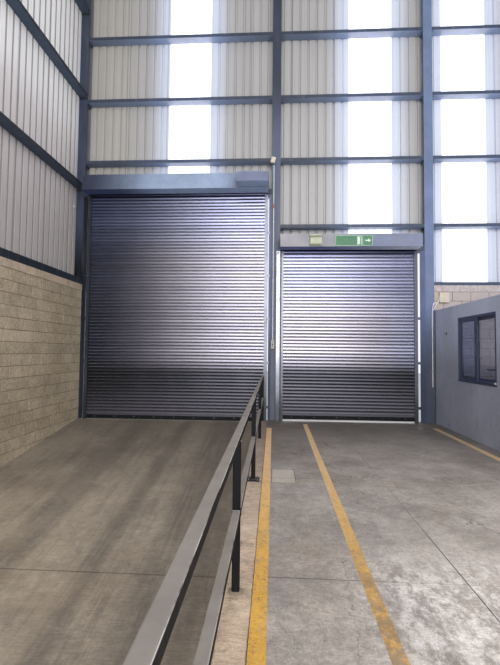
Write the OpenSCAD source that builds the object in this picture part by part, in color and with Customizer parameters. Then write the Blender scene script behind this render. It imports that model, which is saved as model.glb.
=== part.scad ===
// End bay of a factory hall: a clad steel frame with two roller shutters, a block dado,
// a sunken loading ramp beside a raised floor with a guard rail, and an office partition.
// All sizes in millimetres. X runs along the end wall, Y points at it, Z is up.
// Heights named "above floor" count from the top of the raised floor.

/* [Frame] */
// Corner column to middle column, centre to centre
bay_1_w = 4650; // [4200:10:5400]
// Middle column to right column, centre to centre
bay_2_w = 3470; // [3200:10:4200]
// Right column to end column, centre to centre
bay_3_w = 3470; // [3000:10:4200]
// Spacing of the columns along the side wall
side_bay_w = 4650; // [4350:10:5400]
// Top of the walls above floor
wall_top_h = 10600; // [10350:10:11500]
// Flange width of a column
column_w = 203; // [180:1:240]
// Depth of a column, which is also the depth of the wall frame
column_d = 203; // [180:1:240]
// Thickness of a column flange
flange_t = 11; // [8:0.5:20]
// Thickness of a column web
web_t = 8; // [6:0.5:16]

/* [Girts] */
// Height of a girt flange
girt_h = 76; // [60:1:100]
// Steel thickness of the girts
girt_t = 3; // [2:0.5:6]
// Length of the stiffening lips on the girts
girt_lip = 20; // [12:1:28]
// Leg width of the shelf angles that carry the girts
shelf_w = 60; // [40:5:80]
// Steel thickness of the shelf angles
shelf_t = 6; // [4:1:10]
// Tops of the end wall girts above floor, from the lowest
end_girt_1_h = 3161; // [3161:1:3300]
end_girt_2_h = 4495; // [4300:1:4700]
end_girt_3_h = 6065; // [5950:1:6300]
end_girt_4_h = 7565; // [7300:1:7800]
// From the wall top down to the top of the uppermost end wall girt
end_girt_5_drop = 1490; // [1200:1:1700]
// Tops of the side wall girts above floor, from the lowest
side_girt_1_h = 5465; // [5200:1:5700]
side_girt_2_h = 7705; // [7500:1:8000]
// From the wall top down to the top of the uppermost side wall girt
side_girt_3_drop = 800; // [700:1:1100]
// Height of the sill rail on the side wall coping
sill_rail_h = 150; // [100:1:180]
// Height of the eaves members along the top of both walls
eaves_rail_h = 180; // [120:1:240]

/* [Cladding] */
// Spacing of the cladding ribs
rib_pitch = 200; // [150:5:250]
// Depth of a cladding rib
rib_h = 28; // [18:1:45]
// Width of a rib where it leaves the pan
rib_base_w = 60; // [45:1:80]
// Width of a rib at its crown
rib_crown_w = 30; // [15:1:40]
// Thickness of the sheeting
sheet_t = 1.2; // [0.6:0.1:4]
// Width of a translucent sheet
strip_w = 1005; // [800:5:1200]
// Left edge of the translucent sheet in bay 1, from the corner
strip_1_x = 2155; // [1500:5:2600]
// Left edge of the translucent sheet in bay 2, from the middle column's centre
strip_2_x = 1695; // [1000:5:1900]
// Left edge of the translucent sheet in bay 3, from the right column's centre
strip_3_x = 370; // [250:5:1500]
// How far the corner flashing laps past the crown of the first rib
flashing_lap = 20; // [5:1:25]
// Sheet thickness of the corner flashing
flashing_t = 1.5; // [0.6:0.1:4]

/* [Masonry] */
// Thickness of the block walls
block_t = 200; // [140:10:200]
// Height of the blockwork above floor
dado_h = 2940; // [2800:10:2980]
// Height of the coping beam on the blockwork
coping_h = 145; // [100:5:180]
// How far the coping stands out from the blocks
coping_out = 8; // [2:1:20]

/* [Floor and ramp] */
// Thickness of the floor slab and the ramp slab
slab_t = 200; // [120:10:300]
// Fall of the ramp in per cent
ramp_slope = 14; // [10:0.5:16]
// Depth of the level landing inside door 1
landing_d = 280; // [275:5:400]
// Drop from the raised floor to the landing
landing_drop = 35; // [10:1:60]
// Width of the retaining kerb
kerb_w = 185; // [150:5:260]
// From the middle column's centre to the near face of the kerb
kerb_gap = 155; // [140:1:158]

/* [Guard rail] */
// Outer size of the square rail tube
tube_w = 51; // [40:1:60]
// Top of the upper rail above floor
rail_top_h = 1020; // [900:10:1200]
// Top of the middle rail above floor
rail_mid_h = 525; // [400:5:650]
// Spacing of the rail posts
post_pitch = 2380; // [2100:10:2600]
// From the open front to the centre of the first post
post_start = 110; // [60:5:300]
// From the kerb end to the centre of the last post
post_end = 80; // [60:5:200]
// Side of the square base plate
base_plate_w = 150; // [120:5:170]
// Thickness of the base plate
base_plate_t = 12; // [6:1:20]

/* [Roller shutters] */
// Spacing of the curtain laths
lath_pitch = 75; // [60:1:100]
// Depth of the curve of a lath
lath_bow = 6; // [4:0.5:12]
// Thickness of a lath
lath_t = 1.5; // [0.8:0.1:2.5]
// Radius of the hinge bead that joins two laths
bead_r = 5.5; // [3:0.5:7]
// From the column faces to the middle of the curtains
curtain_gap = 50; // [45:1:80]
// Width of a guide channel
guide_w = 80; // [60:1:90]
// Depth of a guide channel
guide_d = 40; // [38:1:50]
// Steel thickness of a guide channel
guide_t = 3; // [2:0.5:4]
// How far a curtain reaches into its guides
engage = 45; // [30:1:46]
// Daylight gap between the left guide of door 1 and its jamb
light_gap_1_left = 50; // [20:1:55]
// Daylight gap between the right guide of door 1 and its jamb
light_gap_1_right = 20; // [15:1:40]
// Daylight gap between the right guide of door 2 and its jamb
light_gap_2_right = 62; // [20:1:70]
// Steel thickness of the jamb angles
jamb_t = 6; // [4:1:10]
// Return of the jamb angles along the columns
jamb_return = 120; // [60:5:150]
// From the corner column to the left edge of curtain 1
door_1_left = 207; // [170:1:300]
// From the right edge of curtain 1 to the middle column
door_1_right = 154; // [150:1:200]
// From the middle column to the left edge of curtain 2
door_2_left = 82; // [82:1:150]
// From the right edge of curtain 2 to the right column
door_2_right = 263; // [180:1:400]
// Underside of hood 1 above floor
door_1_h = 5185; // [4700:5:5400]
// Underside of hood 2 above floor
door_2_h = 3860; // [3500:5:3950]
// Height of hood 1
hood_1_h = 340; // [330:5:450]
// Height of hood 2
hood_2_h = 280; // [276:2:380]
// Depth of both hoods
hood_d = 470; // [450:5:560]
// Sheet thickness of the hoods
hood_t = 2; // [1:0.5:4]
// Width of the slot under a hood that the curtain runs through
hood_slot = 160; // [120:5:170]
// Height of the lip along that slot
hood_lip = 12; // [6:1:15]
// Hood overhang past each curtain edge
hood_over_1_left = 60; // [60:1:90]
hood_over_1_right = 86; // [60:1:90]
hood_over_2_left = 80; // [60:1:81]
hood_over_2_right = 60; // [60:1:90]
// Thickness of the hood end plates
end_plate_t = 8; // [5:1:12]
// Height of the lintel members behind the hoods
lintel_h = 150; // [100:5:200]
// Height of the bottom bars
bar_h = 90; // [60:5:140]
// Depth of the bottom bars
bar_d = 30; // [20:1:31]
// Gap under bottom bar 1
bar_gap_1 = 10; // [4:1:30]
// Gap under bottom bar 2, where daylight shows
bar_gap_2 = 38; // [4:1:60]
// Width of the motor cover on hood 1
motor_w = 680; // [500:10:900]
// Depth of the motor cover
motor_d = 330; // [200:5:400]
// Height of the motor cover
motor_h = 211; // [150:1:260]
// From the underside of hood 1 to the motor cover
motor_rise = 20; // [5:1:50]
// Thickness of the guide brackets
bracket_t = 6; // [4:1:10]
// Height of the guide brackets
bracket_h = 60; // [40:5:100]

/* [Office partition] */
// Gap between the right column and the partition
partition_gap = 18; // [14:1:60]
// Thickness of the partition
partition_t = 120; // [100:5:160]
// Length of the partition from the end wall
partition_l = 3700; // [3300:10:4200]
// Height of the partition
partition_h = 2515; // [2400:5:2600]
// From the end wall to the window opening
window_y = 1140; // [800:10:1500]
// Width of the window opening
window_w = 1420; // [1000:10:1600]
// Height of the window opening
window_h = 1230; // [800:10:1300]
// Height of the sill above floor
window_sill_h = 1025; // [900:5:1100]
// Face width of the window frame
frame_w = 45; // [30:1:60]
// Depth of the window frame
frame_d = 84; // [70:1:90]
// Face width of a sash
sash_w = 50; // [35:1:70]
// Depth of a sash
sash_d = 28; // [20:1:30]
// Thickness of the glass
glass_t = 5; // [4:1:8]

/* [Fittings] */
// Outer diameter of the conduit on the middle column
conduit_d = 20; // [16:1:28]
// Top of the conduit on the middle column above floor
conduit_top_h = 5880; // [5400:10:6000]
// Foot of the conduit on the middle column above floor
conduit_foot_h = 1820; // [1400:10:2000]
// Width of the push-button box under it
button_box_w = 80; // [50:5:80]
// Height of the push-button box
button_box_h = 200; // [100:5:240]
// Depth of the push-button box
button_box_d = 70; // [40:5:90]
// Outer diameter of the conduit on the right column
right_conduit_d = 16; // [12:1:20]
// Top of the conduit on the right column above floor
right_conduit_top_h = 2540; // [2000:10:3000]
// Foot of the conduit on the right column above floor
right_conduit_foot_h = 800; // [300:10:1500]
// Width of the junction box
junction_w = 204; // [120:2:260]
// Height of the junction box
junction_h = 225; // [150:5:280]
// Depth of the junction box
junction_d = 80; // [50:5:120]
// Underside of the junction box above floor
junction_sill_h = 2690; // [2600:10:2710]
// From the right face of the partition to the junction box
junction_gap = -43; // [-60:1:60]
// Width of the emergency light
lamp_w = 260; // [200:5:350]
// Height of the emergency light
lamp_h = 250; // [150:5:250]
// Depth of the emergency light
lamp_d = 70; // [40:5:100]
// From the left end of hood 2 to the emergency light
lamp_x = 640; // [300:10:1500]
// From the underside of hood 2 to the emergency light
lamp_rise = 14; // [5:1:25]

/* [Hidden] */

// Column centres along the end wall, with x = 0 on the inner face of the side cladding
corner_x = column_w / 2;
middle_x = corner_x + bay_1_w;
right_x = middle_x + bay_2_w;
end_x = right_x + bay_3_w;
hall_w = end_x + column_w / 2;

// Column centres along the side wall, with y = 0 on the inner face of the end cladding
side_mid_y = -column_d / 2 - side_bay_w;
side_front_y = side_mid_y - side_bay_w;
front_y = side_front_y - column_w / 2;

// Levels above the lowest ground
ramp_run = -front_y - landing_d;
landing_z = slab_t + ramp_run * ramp_slope / 100;
floor_z = landing_z + landing_drop;
dado_z = floor_z + dado_h;
coping_z = dado_z + coping_h;
wall_top_z = floor_z + wall_top_h;
end_girt_5_h = wall_top_h - end_girt_5_drop;
side_girt_3_h = wall_top_h - side_girt_3_drop;

// The kerb between ramp and floor
kerb_x1 = middle_x - kerb_gap;
kerb_x0 = kerb_x1 - kerb_w;
kerb_end_y = -landing_d;
rail_x = kerb_x0 + base_plate_w / 2;

// The origin is below the middle of the outline
x_min = -rib_h - sheet_t - flashing_t;
y_max = rib_h + sheet_t + flashing_t;
x_mid = (x_min + hall_w) / 2;
y_mid = (front_y + y_max) / 2;

// Outer shift of a rib corner that keeps the sheet the same thickness all along
rib_run = (rib_base_w - rib_crown_w) / 2;
rib_shift = sheet_t * (sqrt(rib_run * rib_run + rib_h * rib_h) - rib_run) / rib_h;

// Curtain and guide planes
curtain_y = -column_d - curtain_gap;
guide_back_y = curtain_y + guide_d / 2;
hood_front_y = -column_d - hood_d;
seat = 0.3;
roll_clear = 16;
shaft_r = 30;
bracket_lap = 20;
bracket_pitch = 1000;
bracket_start = 300;
guide_post_w = 80;
button_box_edge = 10;
right_conduit_edge = 50;
frame_inset = 2;
sash_inset = 8;
sash_clear = 4;
cut = 1;
jamb_y = guide_back_y + bracket_t;

// Curtain edges of both doors
door_1_x0 = corner_x + column_w / 2 + door_1_left;
door_1_x1 = middle_x - column_w / 2 - door_1_right;
door_2_x0 = middle_x + column_w / 2 + door_2_left;
door_2_x1 = right_x - column_w / 2 - door_2_right;
door_1_z = floor_z + door_1_h;
door_2_z = floor_z + door_2_h;
bar_1_z = landing_z + bar_gap_1;
bar_2_z = floor_z + bar_gap_2;

// The partition
partition_x = right_x + column_w / 2 + partition_gap;
partition_y = -column_d;
window_y1 = partition_y - window_y;
window_y0 = window_y1 - window_w;
sill_z = floor_z + window_sill_h;

steel = [0.25, 0.29, 0.36];
sheeting = [0.68, 0.66, 0.63];
concrete = [0.50, 0.47, 0.44];
blockwork = [0.56, 0.50, 0.43];
shutter = [0.17, 0.17, 0.20];
paint = [0.43, 0.44, 0.51];

// Moves the hall frame so that the origin lies below the middle of the outline
module place() {
    translate([-x_mid, -y_mid, 0]) children();
}

// A box between two corners
module block(a, b) {
    translate(a) cube(b - a);
}

// A lipped channel section, web lowermost, w wide and h high, with its outer corner at the origin
module lipped_channel_2d(w, h, t, lip) {
    polygon([
        [0, h], [lip, h], [lip, h - t], [t, h - t], [t, t], [w - t, t],
        [w - t, h - t], [w - lip, h - t], [w - lip, h], [w, h], [w, 0], [0, 0]
    ]);
}

// A girt along X on the end wall, with its top at z
module end_girt(x0, x1, z, h = girt_h) {
    translate([x0, -column_d, z - h]) rotate([90, 0, 90])
        linear_extrude(x1 - x0) lipped_channel_2d(column_d, h, girt_t, girt_lip);
}

// A girt along Y on the side wall, with its top at z
module side_girt(y0, y1, z, h = girt_h) {
    translate([0, y1, z - h]) rotate([90, 0, 0])
        linear_extrude(y1 - y0) lipped_channel_2d(column_d, h, girt_t, girt_lip);
}

// An equal angle whose upper face is the shelf, with its corner at the origin
module shelf_2d() {
    polygon([
        [0, 0], [shelf_w, 0], [shelf_w, -shelf_t], [shelf_t, -shelf_t], [shelf_t, -shelf_w], [0, -shelf_w]
    ]);
}

// A shelf angle under a girt of the end wall, across the flange edges of a column at x
module end_shelf(x, side, z) {
    translate([x, 0, z]) mirror([side > 0 ? 0 : 1, 0, 0]) rotate([90, 0, 0])
        linear_extrude(column_d) shelf_2d();
}

// A shelf angle under a girt of the side wall, across the flange edges of a column at y
module side_shelf(y, side, z) {
    translate([0, y, z]) mirror([0, side > 0 ? 0 : 1, 0]) rotate([90, 0, 90])
        linear_extrude(column_d) shelf_2d();
}

// Plan of a rolled column whose flanges lie along X
module column_2d() {
    translate([-column_w / 2, -column_d]) square([column_w, flange_t]);
    translate([-column_w / 2, -flange_t]) square([column_w, flange_t]);
    translate([-web_t / 2, -column_d]) square([web_t, column_d]);
}

// A column of the end wall that stands on level z
module end_wall_column(x, z) {
    color(steel) place() translate([x, 0, z]) linear_extrude(wall_top_z - z) column_2d();
}

// Number of ribs on a sheet of width w, and the place of its first rib
function rib_count(w) = floor(w / rib_pitch);
function first_rib(w) = (w - (rib_count(w) - 1) * rib_pitch) / 2;

// Ribbed sheeting from x0 to x1, z0 to z1, with its inner face at y = 0 and ribs outward
module ribbed_sheet(x0, x1, z0, z1) {
    count = rib_count(x1 - x0);
    first = x0 + first_rib(x1 - x0);
    inner = [for (i = [0 : count - 1]) let (c = first + i * rib_pitch) each [
        [c - rib_base_w / 2, 0], [c - rib_crown_w / 2, rib_h],
        [c + rib_crown_w / 2, rib_h], [c + rib_base_w / 2, 0]]];
    outer = [for (i = [count - 1 : -1 : 0]) let (c = first + i * rib_pitch) each [
        [c + rib_base_w / 2 + rib_shift, sheet_t], [c + rib_crown_w / 2 + rib_shift, rib_h + sheet_t],
        [c - rib_crown_w / 2 - rib_shift, rib_h + sheet_t], [c - rib_base_w / 2 - rib_shift, sheet_t]]];
    translate([0, 0, z0]) linear_extrude(z1 - z0)
        polygon(concat([[x0, 0]], inner, [[x1, 0], [x1, sheet_t]], outer, [[x0, sheet_t]]));
}

// One face of lath i, counted down from the top of the curtain, as [offset, height]:
// a round hinge bead, then the hollow curve of the lath. The room side has negative offsets.
function lath_face(i, room) = let (top = -i * lath_pitch, back = room ? 0 : lath_t) concat(
    [for (a = [0 : 36 : 180])
        [(room ? -1 : 1) * bead_r * sin(a) + back, top - bead_r * (1 - cos(a))]],
    [for (k = [1 : 5]) let (u = k / 6) [
        4 * lath_bow * u * (1 - u) + back,
        top - 2 * bead_r - u * (lath_pitch - 2 * bead_r)]]);

// Profile of a curtain of height h: whole laths from the top, and a flat strip below them
module curtain_2d(h) {
    count = floor((h - bead_r) / lath_pitch);
    room_face = [for (i = [0 : count - 1]) each lath_face(i, true)];
    back_face = [for (i = [0 : count - 1]) each lath_face(i, false)];
    polygon(concat(
        room_face, [[0, -count * lath_pitch], [0, -h], [lath_t, -h], [lath_t, -count * lath_pitch]],
        [for (i = [len(back_face) - 1 : -1 : 0]) back_face[i]]));
}

// A curtain from x0 to x1 that rises from z0 until its top bead is level with the roll at z1
module curtain(x0, x1, z0, z1) {
    top = z1 + bead_r;
    translate([x0, curtain_y, top]) rotate([90, 0, 90])
        linear_extrude(x1 - x0) curtain_2d(top - z0);
}

// A guide channel with its mouth at x, open towards side 1 (right) or -1 (left)
module guide(x, side, z0, z1) {
    translate([x, curtain_y, z0]) mirror([side > 0 ? 0 : 1, 0, 0])
        linear_extrude(z1 - z0) difference() {
            translate([-guide_w, -guide_d / 2]) square([guide_w, guide_d]);
            translate([-guide_w + guide_t, -guide_d / 2 + guide_t])
                square([guide_w, guide_d - 2 * guide_t]);
        }
}

// A jamb angle from the column face at x to the daylight gap, side 1 to the right of the column
module jamb(x, w, side, z0, z1) {
    translate([x, jamb_y, z0]) mirror([side > 0 ? 0 : 1, 0, 0]) linear_extrude(z1 - z0) {
        square([w, jamb_t]);
        square([jamb_t, jamb_return]);
    }
}

// Sheet-metal hood, open behind and at the slot for the curtain
module hood(x0, x1, z, h) {
    slot_y = -column_d - hood_slot;
    translate([x0, 0, z]) rotate([90, 0, 90]) linear_extrude(x1 - x0) polygon([
        [-column_d, h], [hood_front_y, h], [hood_front_y, 0], [slot_y, 0], [slot_y, hood_lip],
        [slot_y - hood_t, hood_lip], [slot_y - hood_t, hood_t], [hood_front_y + hood_t, hood_t],
        [hood_front_y + hood_t, h - hood_t], [-column_d, h - hood_t]
    ]);
}

// An end plate inside a hood, with its outer face at x
module end_plate(x, z, h) {
    block([x, hood_front_y + hood_t, z + hood_t], [x + end_plate_t, -column_d, z + h - hood_t]);
}

// The rolled part of a curtain over its door from door_x0 to door_x1, on a shaft that
// spans the end plates of the hood from hood_x0 to hood_x1
module curtain_roll(hood_x0, hood_x1, door_x0, door_x1, z, h) {
    r = h / 2 - roll_clear;
    shaft_x0 = hood_x0 + end_plate_t;
    shaft_x1 = hood_x1 - end_plate_t;
    translate([0, curtain_y - bead_r - seat - r, z + h / 2]) {
        translate([shaft_x0, 0, 0]) rotate([0, 90, 0])
            cylinder(r = shaft_r, h = shaft_x1 - shaft_x0, $fn = 48);
        translate([door_x0 - engage, 0, 0]) rotate([0, 90, 0])
            cylinder(r = r, h = door_x1 - door_x0 + 2 * engage, $fn = 96);
    }
}

module ramp_bed() {
    color(concrete) place() translate([column_d, 0, 0]) rotate([90, 0, 90])
        linear_extrude(kerb_x0 - column_d) polygon([
            [front_y, 0], [0, 0], [0, landing_z - slab_t], [-landing_d, landing_z - slab_t]
        ]);
    color(concrete) place()
        block([kerb_x0, kerb_end_y, 0], [kerb_x1, 0, landing_z - slab_t]);
}

module ramp_slab() {
    color(concrete) place() translate([column_d, 0, 0]) rotate([90, 0, 90])
        linear_extrude(kerb_x0 - column_d) polygon([
            [front_y, 0], [-landing_d, landing_z - slab_t], [0, landing_z - slab_t],
            [0, landing_z], [-landing_d, landing_z], [front_y, slab_t]
        ]);
    color(concrete) place()
        block([kerb_x0, kerb_end_y, landing_z - slab_t], [kerb_x1, 0, landing_z]);
}

module floor_bed() {
    color(concrete) place() block([kerb_x1, front_y, 0], [hall_w, 0, floor_z - slab_t]);
}

module floor_slab() {
    color(concrete) place() block([kerb_x1, front_y, floor_z - slab_t], [hall_w, 0, floor_z]);
}

module retaining_kerb() {
    color(concrete) place() block([kerb_x0, front_y, 0], [kerb_x1, kerb_end_y, floor_z]);
}

// The stretches of the side wall between its columns
side_runs = [
    [side_front_y + column_w / 2, side_mid_y - column_w / 2],
    [side_mid_y + column_w / 2, -column_d]
];

module side_dado() {
    color(blockwork) place() for (run = side_runs)
        block([column_d - block_t, run[0], 0], [column_d, run[1], dado_z]);
}

module end_dado() {
    color(blockwork) place() block(
        [right_x + column_w / 2, -column_d, floor_z],
        [end_x - column_w / 2, block_t - column_d, dado_z]);
}

module coping_beams() {
    color(blockwork) place() {
        for (run = side_runs) block(
            [column_d - block_t, run[0], dado_z], [column_d + coping_out, run[1], coping_z]);
        block([right_x + column_w / 2, -column_d - coping_out, dado_z],
            [end_x - column_w / 2, block_t - column_d, coping_z]);
    }
}

module corner_column() { end_wall_column(corner_x, 0); }
module middle_column() { end_wall_column(middle_x, floor_z); }
module right_column() { end_wall_column(right_x, floor_z); }
module end_column() { end_wall_column(end_x, floor_z); }

module side_columns() {
    color(steel) place() for (y = [side_mid_y, side_front_y])
        translate([0, y, 0]) rotate([0, 0, 90]) linear_extrude(wall_top_z) column_2d();
}

// Girts between two columns: the tops in seated rest on the coping, the others on shelf angles
module end_girts(x0, x1, tops, seated = []) {
    left = x0 + column_w / 2;
    right = x1 - column_w / 2;
    color(steel) place() {
        for (h = concat(seated, tops)) end_girt(left, right, floor_z + h);
        for (h = tops) {
            end_shelf(left, 1, floor_z + h - girt_h);
            end_shelf(right, -1, floor_z + h - girt_h);
        }
    }
}

module end_girts_bay_1() {
    end_girts(corner_x, middle_x, [end_girt_3_h, end_girt_4_h, end_girt_5_h]);
}

module end_girts_bay_2() {
    end_girts(middle_x, right_x, [end_girt_2_h, end_girt_3_h, end_girt_4_h, end_girt_5_h]);
}

module end_girts_bay_3() {
    end_girts(right_x, end_x,
        [end_girt_2_h, end_girt_3_h, end_girt_4_h, end_girt_5_h], [end_girt_1_h]);
}

// The girts of the side wall on their shelf angles, and the taller sill rail on its coping
module side_girts() {
    color(steel) place() for (run = side_runs) {
        for (h = [side_girt_1_h, side_girt_2_h, side_girt_3_h]) {
            side_girt(run[0], run[1], floor_z + h);
            side_shelf(run[0], 1, floor_z + h - girt_h);
            side_shelf(run[1], -1, floor_z + h - girt_h);
        }
        side_girt(run[0], run[1], coping_z + sill_rail_h, sill_rail_h);
    }
}

module eaves_rails() {
    color(steel) place() {
        for (bay = [[corner_x, middle_x], [middle_x, right_x], [right_x, end_x]])
            end_girt(bay[0] + column_w / 2, bay[1] - column_w / 2, wall_top_z, eaves_rail_h);
        for (run = side_runs)
            side_girt(run[0], run[1], wall_top_z, eaves_rail_h);
    }
}

// Metal sheets left and right of the translucent one in a bay
module bay_cladding(x0, x1, strip_x, z) {
    color(sheeting) place() {
        ribbed_sheet(x0, strip_x, z, wall_top_z);
        ribbed_sheet(strip_x + strip_w, x1, z, wall_top_z);
    }
}

module cladding_bay_1() { bay_cladding(0, middle_x, strip_1_x, door_1_z); }
module cladding_bay_2() { bay_cladding(middle_x, right_x, middle_x + strip_2_x, door_2_z); }
module cladding_bay_3() { bay_cladding(right_x, hall_w, right_x + strip_3_x, dado_z); }

module translucent_sheets() {
    color("white") place() for (s = [
        [strip_1_x, door_1_z], [middle_x + strip_2_x, door_2_z], [right_x + strip_3_x, dado_z]])
        ribbed_sheet(s[0], s[0] + strip_w, s[1], wall_top_z);
}

module side_cladding() {
    color(sheeting) place() rotate([0, 0, 90]) ribbed_sheet(front_y, 0, dado_z, wall_top_z);
}

module corner_flashing() {
    x0 = -rib_h - sheet_t;
    y1 = rib_h + sheet_t;
    x1 = first_rib(strip_1_x) + rib_crown_w / 2 + flashing_lap;
    y0 = -first_rib(-front_y) - rib_crown_w / 2 - flashing_lap;
    color(sheeting) place() translate([0, 0, dado_z]) linear_extrude(wall_top_z - dado_z) polygon([
        [x0, y0], [x0, y1], [x1, y1], [x1, y1 + flashing_t],
        [x0 - flashing_t, y1 + flashing_t], [x0 - flashing_t, y0]
    ]);
}

module door_lintels() {
    color(steel) place() {
        end_girt(corner_x + column_w / 2, middle_x - column_w / 2, door_1_z + lintel_h, lintel_h);
        end_girt(middle_x + column_w / 2, right_x - column_w / 2, door_2_z + lintel_h, lintel_h);
    }
}

module door_1_curtain() {
    color(shutter) place() curtain(door_1_x0 - engage, door_1_x1 + engage,
        bar_1_z + bar_h, door_1_z + hood_1_h / 2);
}

module door_2_curtain() {
    color(shutter) place() curtain(door_2_x0 - engage, door_2_x1 + engage,
        bar_2_z + bar_h, door_2_z + hood_2_h / 2);
}

module bottom_bars() {
    color(shutter) place() {
        block([door_1_x0 - engage, curtain_y - bar_d / 2, bar_1_z],
            [door_1_x1 + engage, curtain_y + bar_d / 2, bar_1_z + bar_h]);
        block([door_2_x0 - engage, curtain_y - bar_d / 2, bar_2_z],
            [door_2_x1 + engage, curtain_y + bar_d / 2, bar_2_z + bar_h]);
    }
}

module door_guides() {
    color("silver") place() {
        guide(door_1_x0, 1, landing_z, door_1_z);
        guide(door_1_x1, -1, landing_z, door_1_z);
        guide(door_2_x0, 1, floor_z, door_2_z);
        guide(door_2_x1, -1, floor_z, door_2_z);
    }
}

// Packer on the face of the middle column that carries the left guide of door 2
module guide_post() {
    color("silver") place() block(
        [door_2_x0 - guide_w - guide_post_w, curtain_y - guide_d / 2, floor_z],
        [door_2_x0 - guide_w, -column_d, door_2_z]);
}

jamb_1_left_w = door_1_left - guide_w - light_gap_1_left;
jamb_1_right_w = door_1_right - guide_w - light_gap_1_right;
jamb_2_right_w = door_2_right - guide_w - light_gap_2_right;

module door_jambs() {
    color(steel) place() {
        jamb(corner_x + column_w / 2, jamb_1_left_w, 1, landing_z, door_1_z);
        jamb(middle_x - column_w / 2, jamb_1_right_w, -1, floor_z, door_1_z);
        jamb(right_x - column_w / 2, jamb_2_right_w, -1, floor_z, door_2_z);
    }
}

// Flats that hold the guide of the curtain edge at x to its jamb across the daylight gap
module bracket_row(x, side, gap, z0, z1) {
    count = floor((z1 - z0) / bracket_pitch);
    translate([x, guide_back_y, z0 + bracket_start]) mirror([side > 0 ? 0 : 1, 0, 0])
        for (i = [0 : count - 1])
            translate([-guide_w - gap - bracket_lap, 0, i * bracket_pitch])
                cube([gap + 2 * bracket_lap, bracket_t, bracket_h]);
}

module guide_brackets() {
    color("silver") place() {
        bracket_row(door_1_x0, 1, light_gap_1_left, landing_z, door_1_z);
        bracket_row(door_1_x1, -1, light_gap_1_right, landing_z, door_1_z);
        bracket_row(door_2_x1, -1, light_gap_2_right, floor_z, door_2_z);
    }
}

hood_1_x0 = door_1_x0 - hood_over_1_left;
hood_1_x1 = door_1_x1 + hood_over_1_right;
hood_2_x0 = door_2_x0 - hood_over_2_left;
hood_2_x1 = door_2_x1 + hood_over_2_right;

module door_1_hood() {
    color(paint) place() hood(hood_1_x0, hood_1_x1, door_1_z, hood_1_h);
}

module door_2_hood() {
    color(sheeting) place() hood(hood_2_x0, hood_2_x1, door_2_z, hood_2_h);
}

module hood_end_plates() {
    color(steel) place() {
        for (x = [hood_1_x0, hood_1_x1 - end_plate_t]) end_plate(x, door_1_z, hood_1_h);
        for (x = [hood_2_x0, hood_2_x1 - end_plate_t]) end_plate(x, door_2_z, hood_2_h);
    }
}

module curtain_rolls() {
    color(shutter) place() {
        curtain_roll(hood_1_x0, hood_1_x1, door_1_x0, door_1_x1, door_1_z, hood_1_h);
        curtain_roll(hood_2_x0, hood_2_x1, door_2_x0, door_2_x1, door_2_z, hood_2_h);
    }
}

module motor_cover() {
    color(paint) place() block(
        [hood_1_x1 - motor_w, hood_front_y - motor_d, door_1_z + motor_rise],
        [hood_1_x1, hood_front_y, door_1_z + motor_rise + motor_h]);
}

// Centres of the rail posts along the kerb
post_count = floor((kerb_end_y - post_end - front_y - post_start - tube_w) / post_pitch) + 1;
post_ys = concat(
    [for (i = [0 : post_count - 1]) front_y + post_start + i * post_pitch],
    [kerb_end_y - post_end]);
plate_post = 2;

// A top rail that runs over the posts, and middle rails between them
module guard_rails() {
    color(steel) place() {
        block([rail_x - tube_w / 2, post_ys[0] - tube_w / 2, floor_z + rail_top_h - tube_w],
            [rail_x + tube_w / 2, post_ys[post_count] + tube_w / 2, floor_z + rail_top_h]);
        for (i = [0 : post_count - 1]) block(
            [rail_x - tube_w / 2, post_ys[i] + tube_w / 2, floor_z + rail_mid_h - tube_w],
            [rail_x + tube_w / 2, post_ys[i + 1] - tube_w / 2, floor_z + rail_mid_h]);
    }
}

module guard_rail_posts() {
    color(steel) place() for (i = [0 : post_count]) {
        block([rail_x - tube_w / 2, post_ys[i] - tube_w / 2, floor_z],
            [rail_x + tube_w / 2, post_ys[i] + tube_w / 2, floor_z + rail_top_h - tube_w]);
        if (i == plate_post) block(
            [rail_x - base_plate_w / 2, post_ys[i] - base_plate_w / 2, floor_z],
            [rail_x + base_plate_w / 2, post_ys[i] + base_plate_w / 2, floor_z + base_plate_t]);
    }
}

module office_partition() {
    color(paint) place() difference() {
        block([partition_x, partition_y - partition_l, floor_z],
            [partition_x + partition_t, partition_y, floor_z + partition_h]);
        block([partition_x - cut, window_y0, sill_z],
            [partition_x + partition_t + cut, window_y1, sill_z + window_h]);
    }
}

// A rectangular frame in the partition from y0 to y1 and z0 to z1, w wide and d deep
module opening_frame(x, y0, y1, z0, z1, w, d) {
    difference() {
        block([x, y0, z0], [x + d, y1, z1]);
        block([x - cut, y0 + w, z0 + w], [x + d + cut, y1 - w, z1 - w]);
    }
}

// The back sash runs behind the front one, and they lap at the middle of the window
frame_x = partition_x + frame_inset;
front_sash_x = frame_x + sash_inset;
back_sash_x = front_sash_x + sash_d + sash_clear;
sash_y0 = window_y0 + frame_w;
sash_y1 = window_y1 - frame_w;
sash_mid_y = (window_y0 + window_y1) / 2;
sash_z0 = sill_z + frame_w;
sash_z1 = sill_z + window_h - frame_w;

module window_frame() {
    color(steel) place() opening_frame(frame_x, window_y0, window_y1, sill_z,
        sill_z + window_h, frame_w, frame_d);
}

module window_sashes() {
    color(steel) place() {
        opening_frame(front_sash_x, sash_mid_y - sash_w / 2, sash_y1, sash_z0, sash_z1,
            sash_w, sash_d);
        opening_frame(back_sash_x, sash_y0, sash_mid_y + sash_w / 2, sash_z0, sash_z1,
            sash_w, sash_d);
    }
}

// A pane that fills the sash at x
module pane(x, y0, y1) {
    middle = x + sash_d / 2;
    block([middle - glass_t / 2, y0 + sash_w, sash_z0 + sash_w],
        [middle + glass_t / 2, y1 - sash_w, sash_z1 - sash_w]);
}

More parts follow.
